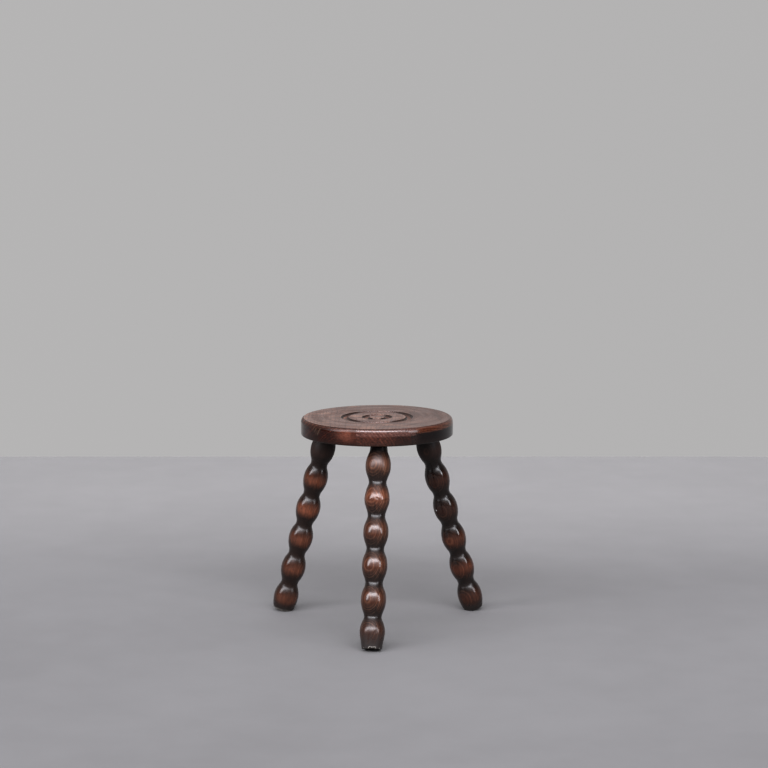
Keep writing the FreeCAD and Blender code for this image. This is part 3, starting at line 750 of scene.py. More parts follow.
def leg_material(name):
    wood = LEG_WOOD[name]
    g = Nodes(name + "_stained_wood")
    late, fibre, pore, tone = wood_figure(g, wood["spacing"], wood["seed"], wood["wobble"])
    along, end = g.attr("along"), g.attr("end")
    place = g.math("FRACT", g.math("DIVIDE", g.math("SUBTRACT", along, FIRST_NECK), PITCH))
    log = g.attr("log", True)
    blotch = g.noise(g.vec("MULTIPLY", log, (0.05, 0.05, 0.018)), 1.0, 3.0, 0.55)
    cloud = g.noise(g.vec("MULTIPLY", log, (0.11, 0.11, 0.05)), 1.0, 3.0, 0.6)
    tint = lambda c: tuple(a * b for a, b in zip(c, wood["tint"]))

    # stained wood: the soft early wood drank the stain, the hard late wood stayed lighter
    early = g.mix(blotch, tint((0.062, 0.021, 0.011)), tint((0.118, 0.040, 0.021)))
    light = g.mix(blotch, tint((0.205, 0.084, 0.046)), tint((0.350, 0.155, 0.088)))
    if name == "front_leg":
        # the rings show more, and browner, on the lower half of its first bobbin
        first = g.math("MULTIPLY", g.span(along, 76.0, 64.0), g.span(g.math("ADD", place, g.math("MULTIPLY", g.math("SUBTRACT", cloud, 0.5), 0.5)), 0.40, 0.62, 0.18, 1.0))
        early = g.mix(first, early, g.mix(1.0, early, (0.70, 0.74, 0.78), "MULTIPLY"))
        light = g.mix(first, light, g.mix(1.0, light, (1.38, 1.46, 1.34), "MULTIPLY"))
    body = g.mix(g.math("MULTIPLY", late, g.span(tone, 0.1, 0.9, 0.3 * wood["figure"], wood["figure"])), early, light)
    streaks = wood["streaks"]
    body = g.mix(1.0, body, g.grey(g.span(fibre, 0.30, 0.72, 1 - 0.30 * streaks, 1 + 0.25 * streaks, soft=False)), "MULTIPLY")
    body = g.mix(g.math("MULTIPLY", pore, 0.45 * streaks), body, (0.016, 0.008, 0.006))
    vein = g.noise(g.vec("MULTIPLY", log, (0.42, 0.42, 0.03)), 1.0, 3.0, 0.6)
    body = g.mix(1.0, body, g.grey(g.span(vein, 0.36, 0.64, 1 - 0.30 * streaks, 1 + 0.22 * streaks, soft=False)), "MULTIPLY")

    # dark stain left in the necks, rubbed away over the wide places; partly painted shade: the dark covers more of the
    # underside of each bobbin, where shade falls
    streak = g.noise(g.vec("MULTIPLY", log, (0.35, 0.35, 0.02)), 1.0, 3.0, 0.6)
    wander = g.math("ADD", g.math("MULTIPLY", g.math("SUBTRACT", cloud, 0.5), 0.20), g.math("MULTIPLY", g.math("SUBTRACT", streak, 0.5), wood["drips"]))
    here = g.math("ADD", place, wander)
    below = g.math("SUBTRACT", place, wander)
    stain_and_painted_shade = g.math("MULTIPLY", g.span(here, *wood["upper"]), g.span(below, *wood["lower"]))
    stain_and_painted_shade = g.math("MULTIPLY", stain_and_painted_shade, g.math("MULTIPLY", g.span(place, 0.0, 0.10), g.span(place, 1.0, 0.88)))
    # painted light: the sides turned towards the lamps in front are painted lighter, the sides turned away darker
    stain_and_painted_shade = g.math("MULTIPLY", stain_and_painted_shade, g.span(g.attr("toward_lights"), *wood["spread"], 1.0))
    # this factor also carries the painted shadow of the seat on the first bobbins
    stain_and_painted_shade = g.math("MULTIPLY", stain_and_painted_shade, g.attr("rubbed_and_shadowed"), clamp=True)
    dark = g.mix(blotch, *wood["dark"])
    through = g.math("MULTIPLY", g.math("MULTIPLY", late, wood["through"]), g.math("MULTIPLY", g.span(place, 0.05, 0.18), g.span(place, 0.97, 0.84)))
    through = g.math("MULTIPLY", through, g.math("MULTIPLY", g.span(tone, 0.1, 0.9, 0.30, 1.0), g.span(cloud, 0.32, 0.55, 0.32, 1.0)))
    dark = g.mix(through, dark, (0.120, 0.066, 0.044))
    body = g.mix(stain_and_painted_shade, dark, body)

    # the foot: stain and dirt darken it, bare wood shows where its edge is broken
    soil = g.math("MULTIPLY", g.span(end, *((40.0, 10.0) if name == "front_leg" else (24.0, 3.0))), g.span(cloud, 0.35, 0.65, 0.40, 0.88))
    body = g.mix(soil, body, (0.023, 0.019, 0.018) if name == "front_leg" else (0.018, 0.014, 0.013))
    grit = g.noise(g.vec("MULTIPLY", log, (0.9, 0.9, 0.5)), 1.0, 4.0, 0.7)
    raw = g.mix(fibre, tuple(c * wood["raw"] for c in (0.32, 0.295, 0.26)), tuple(c * wood["raw"] for c in (0.66, 0.645, 0.605)))
    raw = g.mix(g.span(grit, 0.32, 0.62), (0.10, 0.075, 0.055), raw)
    bare = g.math("MULTIPLY", g.attr("bare"), g.span(grit, 0.26, 0.44, 0.12, wood["bare"]))
    body = g.mix(bare, body, raw)
    # painted shade in the undercut below the broken edge
    body = g.mix(g.math("MULTIPLY", g.attr("undercut_shade"), 0.95), body, (0.018, 0.013, 0.010))
    sawn_tone = g.mix(late, (0.075, 0.052, 0.038), (0.125, 0.09, 0.062))
    body = g.mix(g.attr("sawn"), body, sawn_tone)
    knock = g.math("MULTIPLY", g.attr("dent"), g.span(grit, 0.35, 0.6, 0.25, 0.8))
    body = g.mix(knock, body, (0.026, 0.013, 0.009))
    # a small pale grey spot
    if "specks" in wood:
        body = g.mix(g.span(g.attr("speck"), 0.30, 0.70), body, g.mix(fibre, (0.34, 0.33, 0.33), (0.52, 0.51, 0.51)))
    g.put(g.bsdf.inputs["Base Color"], body)

    # polished by handling over the wide places, dull close under the seat and at the foot
    gloss = g.math("ADD", wood["dull"], g.math("MULTIPLY", cloud, 0.10))
    gloss = g.math("ADD", gloss, g.math("MULTIPLY", pore, 0.10))
    gloss = g.math("ADD", gloss, g.math("MULTIPLY", g.span(end, 18.0, 2.0), 0.22))
    gloss = g.math("ADD", gloss, g.math("MULTIPLY", g.span(end, 62.0, 36.0), 0.10 if name == "front_leg" else 0.03))
    handled = g.span(along, 76.0, 40.0)
    if name == "front_leg":
        handled = g.math("MULTIPLY", handled, g.span(along, 20.0, 36.0, 0.12, 1.0))
    gloss = g.math("ADD", gloss, g.math("MULTIPLY", handled, 0.42 if name != "front_leg" else 0.16))
    gloss = g.math("ADD", gloss, g.math("MULTIPLY", g.span(place, 0.17, 0.06), wood["groove"]))
    gloss = g.math("ADD", gloss, g.math("MULTIPLY", g.span(place, 0.84, 0.98), 0.10))
    gloss = g.math("ADD", gloss, g.math("MULTIPLY", g.span(place, 0.36, 0.14), wood["cap"]))
    gloss = g.mix(bare, g.grey(gloss), (0.78, 0.78, 0.78))
    g.put(g.bsdf.inputs["Roughness"], g.math("ADD", gloss, 0.0))
    g.bsdf.inputs["IOR"].default_value = 1.45

    turning = g.noise(g.vec("MULTIPLY", log, (0.02, 0.02, 1.25)), 1.0, 3.0, 0.6)
    h = g.math("MULTIPLY", fibre, 0.004)
    h = g.math("ADD", h, g.math("MULTIPLY", late, 0.006))
    h = g.math("ADD", h, g.math("MULTIPLY", pore, -0.006))
    h = g.math("ADD", h, g.math("MULTIPLY", turning, 0.004))
    h = g.math("ADD", h, g.math("MULTIPLY", g.math("MULTIPLY", bare, grit), 0.5))
    g.put(g.bsdf.inputs["Normal"], g.bump(h, 0.85))
    return g.mat


def seat_material(name):
    wood = BOARD_WOOD[name]
    g = Nodes(name + "_stained_wood")
    late, fibre, pore, tone = wood_figure(g, wood["spacing"], wood["seed"], 0.8)
    log = g.attr("log", True)
    spot = g.attr("spot", True)
    sx, sy, sz = g.split(spot)
    rad = g.math("SQRT", g.math("ADD", g.math("MULTIPLY", sx, sx), g.math("MULTIPLY", sy, sy)))
    blotch = g.noise(g.vec("MULTIPLY", log, (0.035, 0.035, 0.010)), 1.0, 3.0, 0.55)
    cloud = g.noise(g.vec("MULTIPLY", spot, (0.016, 0.042, 0.05)), 1.0, 4.0, 0.6)
    fleck = g.noise(g.vec("MULTIPLY", spot, (0.5, 0.5, 0.5)), 1.0, 4.0, 0.7)
    mottle = g.noise(g.vec("MULTIPLY", spot, (0.20, 0.20, 0.30)), 1.0, 3.0, 0.65)
    # rings left by the lathe round the middle of the top, broken up round the seat
    out = g.math("MAXIMUM", rad, 1.0)
    swirl = g.join(g.math("MULTIPLY", rad, 0.060), g.math("MULTIPLY", g.math("DIVIDE", sx, out), 1.2), g.math("MULTIPLY", g.math("DIVIDE", sy, out), 1.2))
    swirl = g.noise(swirl, 1.0, 3.0, 0.6)
    blob = lambda cx, cy, a, b: g.math("EXPONENT", g.math("MULTIPLY", g.math("ADD", g.math("POWER", g.math("DIVIDE", g.math("SUBTRACT", sx, cx), a), 2.0), g.math("POWER", g.math("DIVIDE", g.math("SUBTRACT", cy[1], cy[0]), b), 2.0)), -1.0))

    top = g.math("MULTIPLY", g.span(sz, -6.0, -4.0), g.span(rad, FLAT_TO + 0.4, FLAT_TO - 0.2))
    under = g.span(sz, -SEAT_T + 0.6, -SEAT_T + 0.1)
    tint = lambda c: tuple(a * b for a, b in zip(c, wood["tint"]))
    early = g.mix(blotch, tint((0.034, 0.011, 0.0065)), tint((0.066, 0.022, 0.013)))
    soft = g.math("SUBTRACT", 1.0, g.math("MULTIPLY", g.math("SUBTRACT", 1.0, top), 1.0 - wood["soft"]))
    early = g.mix(1.0, early, g.grey(soft), "MULTIPLY")
    light = g.mix(blotch, tint((0.100, 0.037, 0.022)), tint((0.165, 0.064, 0.038)))
    broken = g.noise(g.vec("MULTIPLY", spot, (0.13, 0.13, 0.13)), 1.0, 3.0, 0.6)
    rings = g.math("MULTIPLY", g.math("MULTIPLY", late, g.span(tone, 0.1, 0.9, 0.35, 1.0)), g.span(broken, 0.36, 0.62, 0.25, 1.0))
    rings = g.math("MULTIPLY", rings, g.math("SUBTRACT", wood["figure"], g.math("MULTIPLY", top, wood["figure"] - 0.30)))
    body = g.mix(g.math("ADD", rings, g.math("MULTIPLY", top, 0.12)), early, light)
    body = g.mix(1.0, body, g.grey(g.span(fibre, 0.30, 0.72, 0.68, 1.25, soft=False)), "MULTIPLY")
    body = g.mix(g.math("MULTIPLY", pore, 0.5), body, (0.018, 0.009, 0.006))

    # the rim took the stain differently from board to board; painted shade too: it is painted darker towards the right,
    # over the right of the middle board and on the right board
    side = g.math("MULTIPLY", g.span(sz, -1.2, -6.0), g.span(rad, 120.0, 141.0))
    rim_stain_and_shade = wood["rim_stain_and_shade"]
    if name == "seat_board_middle":
        rim_stain_and_shade = g.mix(g.span(sx, 14.0, 54.0), rim_stain_and_shade, (0.37, 0.31, 0.31))
    if name == "seat_board_right":
        rim_stain_and_shade = g.mix(g.span(sx, 66.0, 90.0), (0.28, 0.26, 0.27), rim_stain_and_shade)
    rim_stain_and_shade = g.mix(1.0, rim_stain_and_shade, g.grey(g.span(mottle, 0.34, 0.66, 0.56, 1.44, soft=False)), "MULTIPLY")
    body = g.mix(side, body, g.mix(1.0, body, rim_stain_and_shade, "MULTIPLY"))
    if name == "seat_board_left":
        # a soft lighter orange patch on the front of the left board's rim
        pale_rim_patch = g.math("MULTIPLY", blob(-59.0, (-11.0, sz), 19.0, 15.0), g.span(mottle, 0.32, 0.60, 0.55, 1.0))
        pale_rim_patch = g.math("MULTIPLY", g.math("MULTIPLY", pale_rim_patch, side), g.span(sy, 0.0, -60.0))
        body = g.mix(g.math("MULTIPLY", pale_rim_patch, g.span(cloud, 0.2, 0.6, 0.78, 1.0)), body, g.mix(fibre, (0.086, 0.029, 0.017), (0.160, 0.061, 0.040)))

    # pale strokes of curly figure on the rim near the left leg
    if name == "seat_board_left":
        slant = g.math("SUBTRACT", sx, g.math("MULTIPLY", sz, 0.42))
        flash = None
        for q0, wide, upper_end, lower_end, amount in [(-107.8, 1.3, -3.5, -19.0, 0.50), (-115.2, 1.2, -4.5, -15.0, 0.36), (-119.6, 1.1, -2.5, -12.0, 0.30), (-111.6, 1.0, -9.0, -19.0, 0.20), (-126.5, 1.3, -13.0, -25.0, 0.15)]:
            off = g.math("MULTIPLY", g.math("SUBTRACT", slant, q0), 1.0 / wide)
            one = g.math("EXPONENT", g.math("MULTIPLY", g.math("MULTIPLY", off, off), -1.0))
            one = g.math("MULTIPLY", one, g.math("MULTIPLY", g.span(sz, upper_end, upper_end - 3.0), g.span(sz, lower_end - 3.0, lower_end + 2.0)))
            one = g.math("MULTIPLY", one, amount)
            flash = one if flash is None else g.math("MAXIMUM", flash, one)
        front = g.math("MULTIPLY", side, g.span(sy, 0.0, -60.0))
        gap = g.math("MULTIPLY", g.math("MULTIPLY", g.span(slant, -123.0, -119.0), g.span(slant, -102.0, -106.0)), front)
        body = g.mix(g.math("MULTIPLY", gap, 0.40), body, (0.010, 0.0055, 0.0035))
        flash = g.math("MULTIPLY", g.math("MULTIPLY", flash, front), g.span(fleck, 0.30, 0.56, 0.65, 1.0))
        body = g.mix(flash, body, (0.100, 0.064, 0.045))

    # painted shade on the walls of the ring grooves (less at front and back, where the walls face the lights) and on
    # the little step round the edge (less to the right); the rim darkens towards its bottom edge, and the glue joints
    # are darker
    g1 = g.math("DIVIDE", g.math("ABSOLUTE", g.math("SUBTRACT", rad, (COVE_1[0] + COVE_1[1]) / 2)), (COVE_1[1] - COVE_1[0]) / 2)
    g2 = g.math("DIVIDE", g.math("ABSOLUTE", g.math("SUBTRACT", rad, (COVE_2[0] + COVE_2[1]) / 2)), (COVE_2[1] - COVE_2[0]) / 2)
    groove = g.math("MINIMUM", g1, g2)
    across = g.math("DIVIDE", g.math("ABSOLUTE", sx), g.math("MAXIMUM", rad, 1.0))
    wall = g.math("MULTIPLY", g.math("MULTIPLY", g.span(groove, 0.30, 0.64), g.span(groove, 1.12, 1.02)), g.span(sz, -20.0, -8.0))
    wall = g.math("MULTIPLY", wall, g.span(across, 0.25, 0.70, 0.50, 1.0))
    step = g.math("MULTIPLY", g.span(g.math("ABSOLUTE", g.math("SUBTRACT", rad, FLAT_TO + 0.3)), 1.3, 0.5), g.span(sz, -6.0, -2.5))
    step = g.math("MULTIPLY", g.math("MULTIPLY", step, g.span(sx, -135.0, -105.0, 0.45, 1.0)), g.math("MULTIPLY", g.span(sx, 25.0, 75.0, 1.0, 0.12), g.span(mottle, 0.35, 0.55, 0.45, 1.0)))
    low = g.math("MULTIPLY", g.span(sz, -SEAT_T + 13.0, -SEAT_T + 1.0), g.span(rad, 120.0, 141.0))
    line = g.math("MINIMUM", *[g.math("ABSOLUTE", g.math("SUBTRACT", sx, jx)) for jx in JOINT_X])
    joint = g.span(line, 0.32, 0.08)
    painted_shade_and_joints = g.math("MAXIMUM", g.math("MULTIPLY", wall, 0.97), g.math("MULTIPLY", step, 0.95))
    painted_shade_and_joints = g.math("MAXIMUM", painted_shade_and_joints, g.math("MULTIPLY", low, 0.55))
    painted_shade_and_joints = g.math("MAXIMUM", painted_shade_and_joints, g.math("MULTIPLY", joint, 0.6))
    painted_shade_and_joints = g.math("MULTIPLY", painted_shade_and_joints, g.span(cloud, 0.30, 0.65, 0.75, 1.0))
    body = g.mix(painted_shade_and_joints, body, (0.014, 0.0075, 0.0055))

    # the top is dulled and paler in patches, partly wear and partly painted sheen: painted paler at the front middle
    # and along the left edge, where highlights lie, less towards the back and right; the rounded edge is rubbed
    pale = g.math("ADD", g.span(cloud, 0.42, 0.61, 0.0, 0.48), g.span(swirl, 0.45, 0.62, 0.0, 0.54))
    pale = g.math("ADD", pale, g.math("MULTIPLY", blob(-104.0, (45.0, sy), 18.0, 24.0), 0.6))
    pale = g.math("ADD", pale, g.math("MULTIPLY", g.span(rad, 80.0, 40.0), 0.30))
    pale = g.math("ADD", pale, g.math("MULTIPLY", g.math("MULTIPLY", g.span(rad, FLAT_TO - 7.0, FLAT_TO - 2.0), g.span(sx, -60.0, -105.0)), 0.75))
    pale = g.math("ADD", pale, g.math("MULTIPLY", g.math("MULTIPLY", g.span(sy, -70.0, -125.0), g.span(sx, 55.0, 15.0)), 0.40), clamp=True)
    pale = g.math("MULTIPLY", pale, g.math("MULTIPLY", g.span(sy, 10.0, 110.0, 1.0, 0.60), g.span(sx, 40.0, 90.0, 1.0, 0.55)))
    pale = g.math("MULTIPLY", g.math("MULTIPLY", pale, top), g.span(painted_shade_and_joints, 0.25, 0.85, 1.0, 0.0))
    warm = g.noise(g.vec("MULTIPLY", spot, (0.024, 0.045, 0.05)), 1.0, 3.0, 0.6)
    # the pale grey-pink tone is partly painted sheen
    worn = g.mix(g.span(warm, 0.36, 0.62), (0.116, 0.070, 0.061), (0.194, 0.105, 0.076))
    worn = g.mix(1.0, worn, g.grey(g.math("MULTIPLY", g.span(fibre, 0.30, 0.72, 0.84, 1.18, soft=False), g.span(late, 0.0, 1.0, 1.05, 0.84))), "MULTIPLY")
    worn = g.mix(g.math("MULTIPLY", pore, 0.35), worn, (0.040, 0.020, 0.014))
    body = g.mix(g.math("MULTIPLY", pale, 0.88), body, worn)
    open_grain = g.span(g.noise(g.vec("MULTIPLY", log, (1.15, 1.15, 0.035)), 1.0, 2.0, 0.55), 0.55, 0.66)
    lines = g.math("ADD", g.math("MULTIPLY", g.span(late, 0.72, 0.98), 0.34), g.math("MULTIPLY", open_grain, 0.34), clamp=True)
    body = g.mix(g.math("MULTIPLY", lines, top), body, g.mix(1.0, body, (0.42, 0.36, 0.34), "MULTIPLY"))
    # rubbed band on the rounded edge; on the middle board its pink tone is also painted sheen below the highlight
    rub_and_sheen = g.math("MULTIPLY", g.span(g.math("ABSOLUTE", g.math("ADD", sz, wood["band"][0])), wood["band"][1], 0.45 * wood["band"][1]), g.span(rad, FLAT_TO + 0.4, FLAT_TO + 1.6))
    rub_and_sheen = g.math("MULTIPLY", rub_and_sheen, g.span(fleck, 0.36, 0.60, 0.35, 1.0))
    if name == "seat_board_middle":
        rub_and_sheen = g.math("MULTIPLY", rub_and_sheen, g.math("MULTIPLY", g.span(sx, 86.0, 54.0, 0.30, 1.0), g.span(mottle, 0.34, 0.56, 0.45, 1.0)))
    pink, brown = ((0.110, 0.052, 0.042), (0.178, 0.092, 0.075)), ((0.084, 0.028, 0.015), (0.150, 0.058, 0.034))
    if name == "seat_board_right":
        first = g.span(sx, 77.5, 74.0)
        rub_and_sheen = g.math("MULTIPLY", rub_and_sheen, g.math("SUBTRACT", 1.0, g.math("MULTIPLY", first, 0.75)))
        # painted sheen: the pink band below the highlight runs a little way into the right board
        on = g.math("MULTIPLY", g.span(g.math("ABSOLUTE", g.math("ADD", sz, 8.5)), 8.0, 3.6), g.span(rad, FLAT_TO + 0.4, FLAT_TO + 1.6))
        on = g.math("MULTIPLY", g.math("MULTIPLY", on, first), g.math("MULTIPLY", g.span(sx, 86.0, 54.0, 0.30, 1.0), g.span(fleck, 0.36, 0.60, 0.35, 1.0)))
        body = g.mix(g.math("MULTIPLY", g.math("MULTIPLY", on, g.span(sy, 0.0, -60.0)), 0.80), body, g.mix(late, *pink))
    rub_and_sheen_tone = pink if name == "seat_board_middle" else brown
    body = g.mix(g.math("MULTIPLY", rub_and_sheen, wood["rub_and_sheen"]), body, g.mix(late, *rub_and_sheen_tone))
    # the underside was never varnished
    dry = g.mix(late, (0.060, 0.037, 0.025), (0.115, 0.075, 0.050))
    dry = g.mix(g.span(fibre, 0.35, 0.7), dry, (0.045, 0.028, 0.020))
    body = g.mix(under, body, dry)
    g.put(g.bsdf.inputs["Base Color"], body)

    gloss = g.math("ADD", g.math("ADD", 0.095, g.math("MULTIPLY", top, 0.035)), g.math("MULTIPLY", cloud, 0.08))
    gloss = g.math("ADD", gloss, g.math("MULTIPLY", fleck, 0.03))
    gloss = g.math("ADD", gloss, g.math("MULTIPLY", g.math("MULTIPLY", g.span(swirl, 0.58, 0.40), top), 0.07))
    gloss = g.math("ADD", gloss, g.math("MULTIPLY", g.math("MULTIPLY", top, pale), 0.05))
    gloss = g.math("ADD", gloss, g.math("MULTIPLY", under, 0.40))
    gloss = g.math("ADD", gloss, g.math("MULTIPLY", side, -0.05))
    gloss = g.math("ADD", gloss, g.math("MULTIPLY", g.span(g.math("ABSOLUTE", g.math("ADD", sz, 4.2)), 4.4, 2.2), g.math("MULTIPLY", g.span(rad, FLAT_TO - 0.2, FLAT_TO + 0.6), wood["edge"])))
    gloss = g.math("ADD", gloss, g.math("MULTIPLY", g.math("MULTIPLY", g.span(groove, 1.05, 0.9), g.span(sz, -20.0, -8.0)), 0.12))
    if name != "seat_board_left":
        near = g.math("MULTIPLY", g.math("SUBTRACT", sx, 68.0), 1.0 / 15.0)
        near = g.math("EXPONENT", g.math("MULTIPLY", g.math("MULTIPLY", near, near), -1.0))
        gloss = g.math("ADD", gloss, g.math("MULTIPLY", g.math("MULTIPLY", near, g.span(rad, FLAT_TO - 0.2, FLAT_TO + 0.6)), 0.08))
    if name == "seat_board_right":
        gloss = g.math("ADD", gloss, g.math("MULTIPLY", g.math("MULTIPLY", g.span(sx, 84.0, 74.0), g.span(sy, 0.0, -60.0)), g.math("MULTIPLY", g.span(rad, FLAT_TO - 0.2, FLAT_TO + 0.6), 0.10)))
    g.put(g.bsdf.inputs["Roughness"], gloss)
    g.bsdf.inputs["IOR"].default_value = 1.42 if name == "seat_board_left" else 1.5

    scratch = g.noise(g.vec("MULTIPLY", spot, (0.35, 4.0, 1.0)), 1.0, 2.0, 0.5, warp=0.6)
    saw = g.noise(g.vec("MULTIPLY", spot, (0.03, 0.75, 1.0)), 1.0, 2.0, 0.6)
    h = g.math("MULTIPLY", fibre, 0.005)
    h = g.math("ADD", h, g.math("MULTIPLY", late, 0.007))
    h = g.math("ADD", h, g.math("MULTIPLY", pore, -0.008))
    h = g.math("ADD", h, g.math("MULTIPLY", joint, -0.05))
    h = g.math("ADD", h, g.math("MULTIPLY", g.math("MULTIPLY", swirl, top), 0.06))
    h = g.math("ADD", h, g.math("MULTIPLY", g.math("MULTIPLY", scratch, top), 0.005))
    h = g.math("ADD", h, g.math("MULTIPLY", g.math("MULTIPLY", saw, under), 0.35))
    g.put(g.bsdf.inputs["Normal"], g.bump(h, 0.9))
    return g.mat


def bare_material(name, dark, light, grain):
    """Unfinished straight-grained wood of the hidden pieces."""
    g = Nodes(name)
    tc = g.node("ShaderNodeTexCoord").outputs["Object"]
    v = g.vec("MULTIPLY", tc, tuple(1000.0 * k for k in grain))
    streak = g.noise(v, 1.0, 4.0, 0.65)
    fleck = g.noise(g.vec("MULTIPLY", v, (2.5, 2.5, 2.5)), 1.0, 2.0, 0.5)
    body = g.mix(streak, dark, light)
    body = g.mix(g.math("MULTIPLY", g.span(fleck, 0.58, 0.70), 0.6), body, tuple(c * 0.5 for c in dark))
    g.put(g.bsdf.inputs["Base Color"], body)
    g.put(g.bsdf.inputs["Roughness"], g.math("ADD", 0.55, g.math("MULTIPLY", streak, 0.2)))
    g.put(g.bsdf.inputs["Normal"], g.bump(g.math("MULTIPLY", streak, 0.08), 0.8))
    return g.mat


# ------------------------------------------------------------------ make the pieces
for name in LEGS:
    o = build_leg(name)
    o.data.materials.clear()
    o.data.materials.append(leg_material(name))
    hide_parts(name)
    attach(o, "root")

blank = build_seat()
for name in BOARD_WOOD:
    o = build_board(name, blank)
    o.data.materials.clear()
    o.data.materials.append(seat_material(name))
    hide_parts(name)
    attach(o, "root")
bpy.data.meshes.remove(blank)

dowel_wood = bare_material("dowel_beech", (0.30, 0.19, 0.11), (0.52, 0.36, 0.22), (0.05, 1.6, 1.6))
wedge_wood = bare_material("wedge_wood", (0.28, 0.17, 0.09), (0.46, 0.31, 0.18), (1.4, 1.4, 0.06))
for name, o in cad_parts.items():
    if "dowel" in name or "wedge" in name:
        o.data.materials.clear()
        o.data.materials.append(dowel_wood if "dowel" in name else wedge_wood)

# ------------------------------------------------------------------ floor, light and camera
FLOOR_BACK = 1.88
me = bpy.data.meshes.new("floor")
me.from_pydata([(-14, -14, 0), (14, -14, 0), (14, FLOOR_BACK, 0), (-14, FLOOR_BACK, 0)], [], [(0, 1, 2, 3)])
floor = add_object("floor", me)
g = Nodes("pale_floor")
tc = g.node("ShaderNodeTexCoord").outputs["Object"]
soft = g.noise(tc, 0.9, 4.0, 0.55)
fine = g.noise(tc, 9.0, 4.0, 0.6)
tone = g.math("ADD", g.math("MULTIPLY", soft, 0.75), g.math("MULTIPLY", fine, 0.25))
_, floor_y, _ = g.split(tc)
# painted light: the floor is painted paler towards the back, standing in for its brighter grazing reflection there
near = g.mix(g.span(tone, 0.3, 0.7), (0.150, 0.146, 0.146), (0.171, 0.167, 0.167))
far = g.mix(g.span(tone, 0.3, 0.7), (0.190, 0.185, 0.183), (0.211, 0.205, 0.203))
g.put(g.bsdf.inputs["Base Color"], g.mix(g.span(floor_y, 0.2, 1.5), near, far))
g.bsdf.inputs["Roughness"].default_value = 0.75
g.bsdf.inputs["Specular IOR Level"].default_value = 0.25
floor.data.materials.append(g.mat)

world = bpy.data.worlds.new("studio")
scene.world = world
world.use_nodes = True
t = world.node_tree
t.nodes.clear()
wo = t.nodes.new("ShaderNodeOutputWorld")
bg = t.nodes.new("ShaderNodeBackground")
tex = t.nodes.new("ShaderNodeTexCoord")
sep = t.nodes.new("ShaderNodeSeparateXYZ")
t.links.new(tex.outputs["Generated"], sep.inputs[0])


def wmath(op, a, b=None, clamp=False):
    n = t.nodes.new("ShaderNodeMath")
    n.operation, n.use_clamp = op, clamp
    for s, v in zip(n.inputs, (a, b)):
        if hasattr(v, "is_output"):
            t.links.new(v, s)
        elif v is not None:
            s.default_value = v
    return n.outputs[0]


def wspan(x, a, b, lo, hi):
    n = t.nodes.new("ShaderNodeMapRange")
    n.interpolation_type = "SMOOTHSTEP"
    t.links.new(x, n.inputs[0])
    for s, v in zip(list(n.inputs)[1:5], (a, b, lo, hi)):
        s.default_value = v
    return n.outputs[0]


def wramp(x, stops):
    n = t.nodes.new("ShaderNodeValToRGB")
    e = n.color_ramp.elements
    while len(e) > 1:
        e.remove(e[-1])
    e[0].position, e[0].color = stops[0][0], (stops[0][1],) * 3 + (1,)
    for p, v in stops[1:]:
        e.new(p).color = (v, v, v, 1)
    t.links.new(x, n.inputs[0])
    return n.outputs[0]


# pale wall behind the stool, light ceiling, and a dimmer room on the camera's side, dimmest to the right
wx, wy, wz = sep.outputs[0], sep.outputs[1], sep.outputs[2]
ceiling = wspan(wz, 0.50, 1.0, 0.0, 1.6)
wall = wmath("MULTIPLY", wspan(wy, -0.15, 0.60, 0.0, 0.474), wspan(wz, 0.30, 0.80, 1.0, 0.4))
sides = wspan(wx, -0.9, 0.7, 0.085, 0.045)

# soft boxes in a band round the camera's side: azimuth (degrees, + to the right), elevation, half height, brightness
ARCH = [(-79, 14, 7, 0.0), (-74, 16, 8, 3.8), (-68, 18.5, 9, 11.2), (-62, 23, 10, 16.5), (-55, 28, 11, 17.0), (-48, 33, 10, 15.5), (-41, 35.5, 9, 14.6),
        (-33, 37, 8, 15.0), (-18, 37.5, 8, 16.2), (0, 38, 8, 17.2), (14, 37.5, 8, 17.2), (25, 36.5, 8, 16.4), (34, 34.5, 8, 14.0), (41, 32, 7, 10.6),
        (47, 29, 7, 7.2), (51, 23, 9, 8.0), (53.5, 19, 10, 18.5), (57, 15.5, 9, 22.5), (59.5, 13.5, 8, 10.0), (63, 12, 7, 0.0)]
deg = 180 / math.pi
azimuth = wmath("MULTIPLY", wmath("ARCTAN2", wx, wmath("MULTIPLY", wy, -1.0)), deg)
elevation = wmath("MULTIPLY", wmath("ARCSINE", wz), deg)
across = wmath("DIVIDE", wmath("ADD", azimuth, 90.0), 180.0)
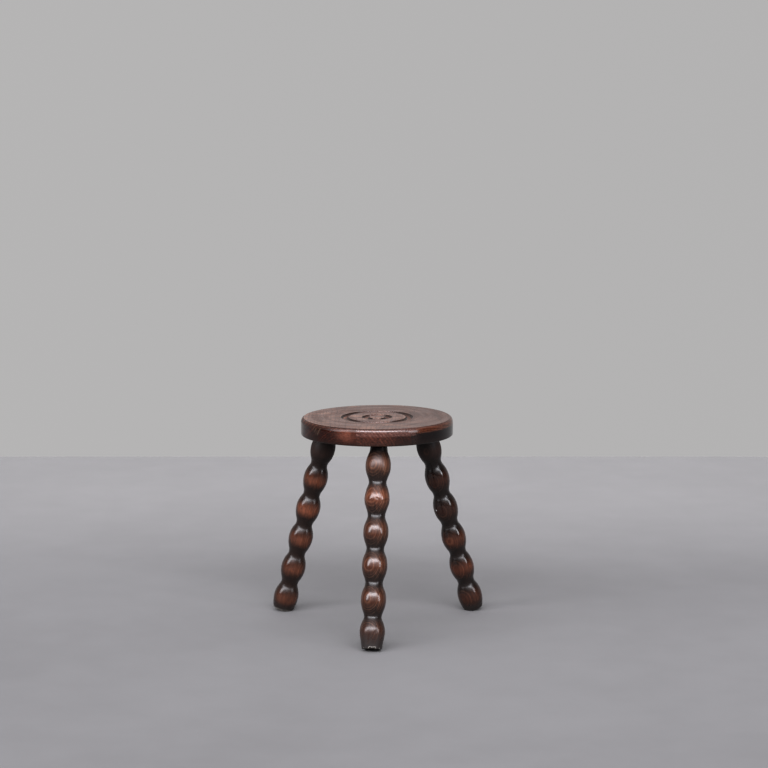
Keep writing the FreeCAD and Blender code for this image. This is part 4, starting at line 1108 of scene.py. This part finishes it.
at = lambda i, k: wmath("MULTIPLY", wramp(across, [((r[0] + 90) / 180.0, (r[i] + (10 if i == 1 else 0)) / k) for r in ARCH]), k)
above = wmath("SUBTRACT", elevation, wmath("SUBTRACT", at(1, 60.0), 10.0))
off = wmath("ABSOLUTE", above)
inside = wspan(wmath("DIVIDE", off, at(2, 12.0)), 0.6, 1.35, 1.0, 0.0)
front = wspan(wy, -0.02, -0.12, 0.0, 1.0)
arch = wmath("MULTIPLY", wmath("MULTIPLY", at(3, 25.0), inside), front)
# their soft spill on the room, mostly below them
spill = wmath("MULTIPLY", wspan(above, -36.0, -12.0, 0.0, 1.7), wspan(above, 26.0, 6.0, 0.0, 1.0))
spill = wmath("MULTIPLY", wmath("MULTIPLY", spill, front), wmath("MULTIPLY", wspan(azimuth, -50.0, -25.0, 0.0, 1.0), wspan(azimuth, 52.0, 34.0, 0.0, 1.0)))
arch = wmath("ADD", arch, spill)

def toned(level, tone):
    n = t.nodes.new("ShaderNodeVectorMath")
    n.operation = "SCALE"
    n.inputs[0].default_value = tone
    t.links.new(level, n.inputs["Scale"])
    return n.outputs[0]


both = t.nodes.new("ShaderNodeVectorMath")
both.operation = "ADD"
t.links.new(toned(wmath("ADD", wall, sides), (1.0, 0.990, 0.990)), both.inputs[0])
t.links.new(toned(wmath("ADD", ceiling, arch), (0.975, 0.985, 1.035)), both.inputs[1])
t.links.new(both.outputs[0], bg.inputs["Color"])
bg.inputs["Strength"].default_value = 1.0
t.links.new(bg.outputs[0], wo.inputs["Surface"])

cam_data = bpy.data.cameras.new("camera")
cam = bpy.data.objects.new("camera", cam_data)
scene.collection.objects.link(cam)
cam_data.sensor_width = 36.0
cam_data.lens = 36.0 * 2500.0 / 768.0
cam_data.clip_start, cam_data.clip_end = 0.05, 100.0
cam.location = (0.01385, -4.8881, 1.2150)
cam.rotation_euler = (math.radians(90 - 8.51), 0, 0)
scene.camera = cam

scene.view_settings.view_transform = "Standard"
scene.view_settings.look = "None"
scene.view_settings.exposure = 0.0
scene.view_settings.gamma = 0.8
